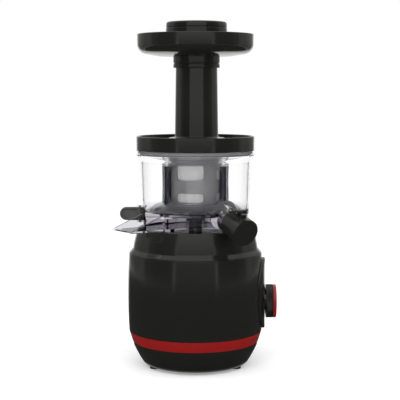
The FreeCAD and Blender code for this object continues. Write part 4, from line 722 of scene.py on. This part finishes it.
# Lid with its feed tube
# A dished gloss lid that locks on the bowl's rim, with an upright feed tube a little off its
# middle on a flared collar; one moulding, open from top to bottom.
dish_line = eased([(66.0, 261.5), (68.4, 261.5, 0.5), (68.4, 264.9), (71.8, 264.9, 0.5), (71.8, 281.9, 1.0),
                   (69.5, 281.9, 0.8), (68.9, 276.9, 1.0), (64.5, 274.9, 2.0), (30.0, 273.8),
                   (30.0, 271.0), (62.4, 272.1), (66.0, 265.9)])
placed(turned("lid_dish", dish_line, count=200), black_gloss, "lid", "black_plastic", "lid")
tube_line = eased([(22.6, 269.0), (37.0, 271.9), (36.4, 274.2, 1.5), (34.0, 279.9, 1.2), (26.4, 280.6, 2.0),
                   (25.0, 376.0, 0.8), (22.6, 376.0, 0.6)])
tube_centre = (1.4, 0.0)
placed(turned("feed_tube", tube_line, tube_centre), black_gloss, "lid", "black_plastic", "lid")


gasket_line = eased([(68.0, 261.45), (68.9, 261.45, 0.2), (69.2, 262.2, 0.2), (68.8, 262.9, 0.2),
                     (69.2, 263.6, 0.2), (68.9, 264.7, 0.2), (68.0, 264.7)])
placed(turned("lid_gasket", gasket_line), pale_silicone, "lid", "silicone", "lid_seal")


# Hopper tray
# A shallow black pan that holds food ready beside the feed tube; its collar slips over the
# tube, and a small step runs round the collar's foot.
pan_line = eased([(25.5, 377.9), (44.0, 378.4), (61.0, 381.2)]
                 + bowed((61.0, 381.2), (70.2, 390.6), -12.5, 10) + [(70.2, 390.6), (70.4, 404.7, 0.9),
                 (67.9, 404.7, 0.9), (67.7, 392.1)] + bowed((67.7, 392.1), (60.0, 383.7), 10.5, 8)
                 + [(60.0, 383.7), (25.5, 382.9)])
placed(turned("tray_pan", pan_line, count=200), black_gloss, "tray", "black_plastic", "hopper_tray")
collar_line = eased([(25.4, 364.1), (28.2, 364.1, 0.8), (28.2, 368.4, 0.3), (27.6, 368.8, 0.2),
                     (27.6, 369.8, 0.2), (28.2, 370.2, 0.3), (28.2, 379.0), (28.0, 382.9),
                     (22.6, 382.9, 0.8), (22.6, 376.3), (25.4, 376.3)])
placed(turned("tray_collar", collar_line, tube_centre), black_gloss, "tray", "black_plastic", "hopper_tray")


# Pusher
# A hollow stem that presses food down the feed tube, under a wide puck to push on; the puck
# has a fine groove below its rounded top.
puck_line = eased([(0.0, 385.5), (36.5, 385.5, 1.0), (37.1, 411.4, 0.5), (36.4, 411.8), (36.4, 412.4),
                   (36.9, 412.8, 0.3), (36.6, 419.3, 2.6), (30.0, 419.3), (0.0, 419.1)])
placed(turned("pusher_puck", puck_line, tube_centre), black_gloss, "pusher", "black_plastic", "pusher_cap")
stem_line = eased([(0.0, 286.0), (22.1, 286.0, 1.6), (22.1, 385.5), (19.6, 385.5), (19.6, 288.5),
                   (0.0, 288.5)])
placed(turned("pusher_tube", stem_line, tube_centre), black_gloss, "pusher", "black_plastic", "pusher_stem")
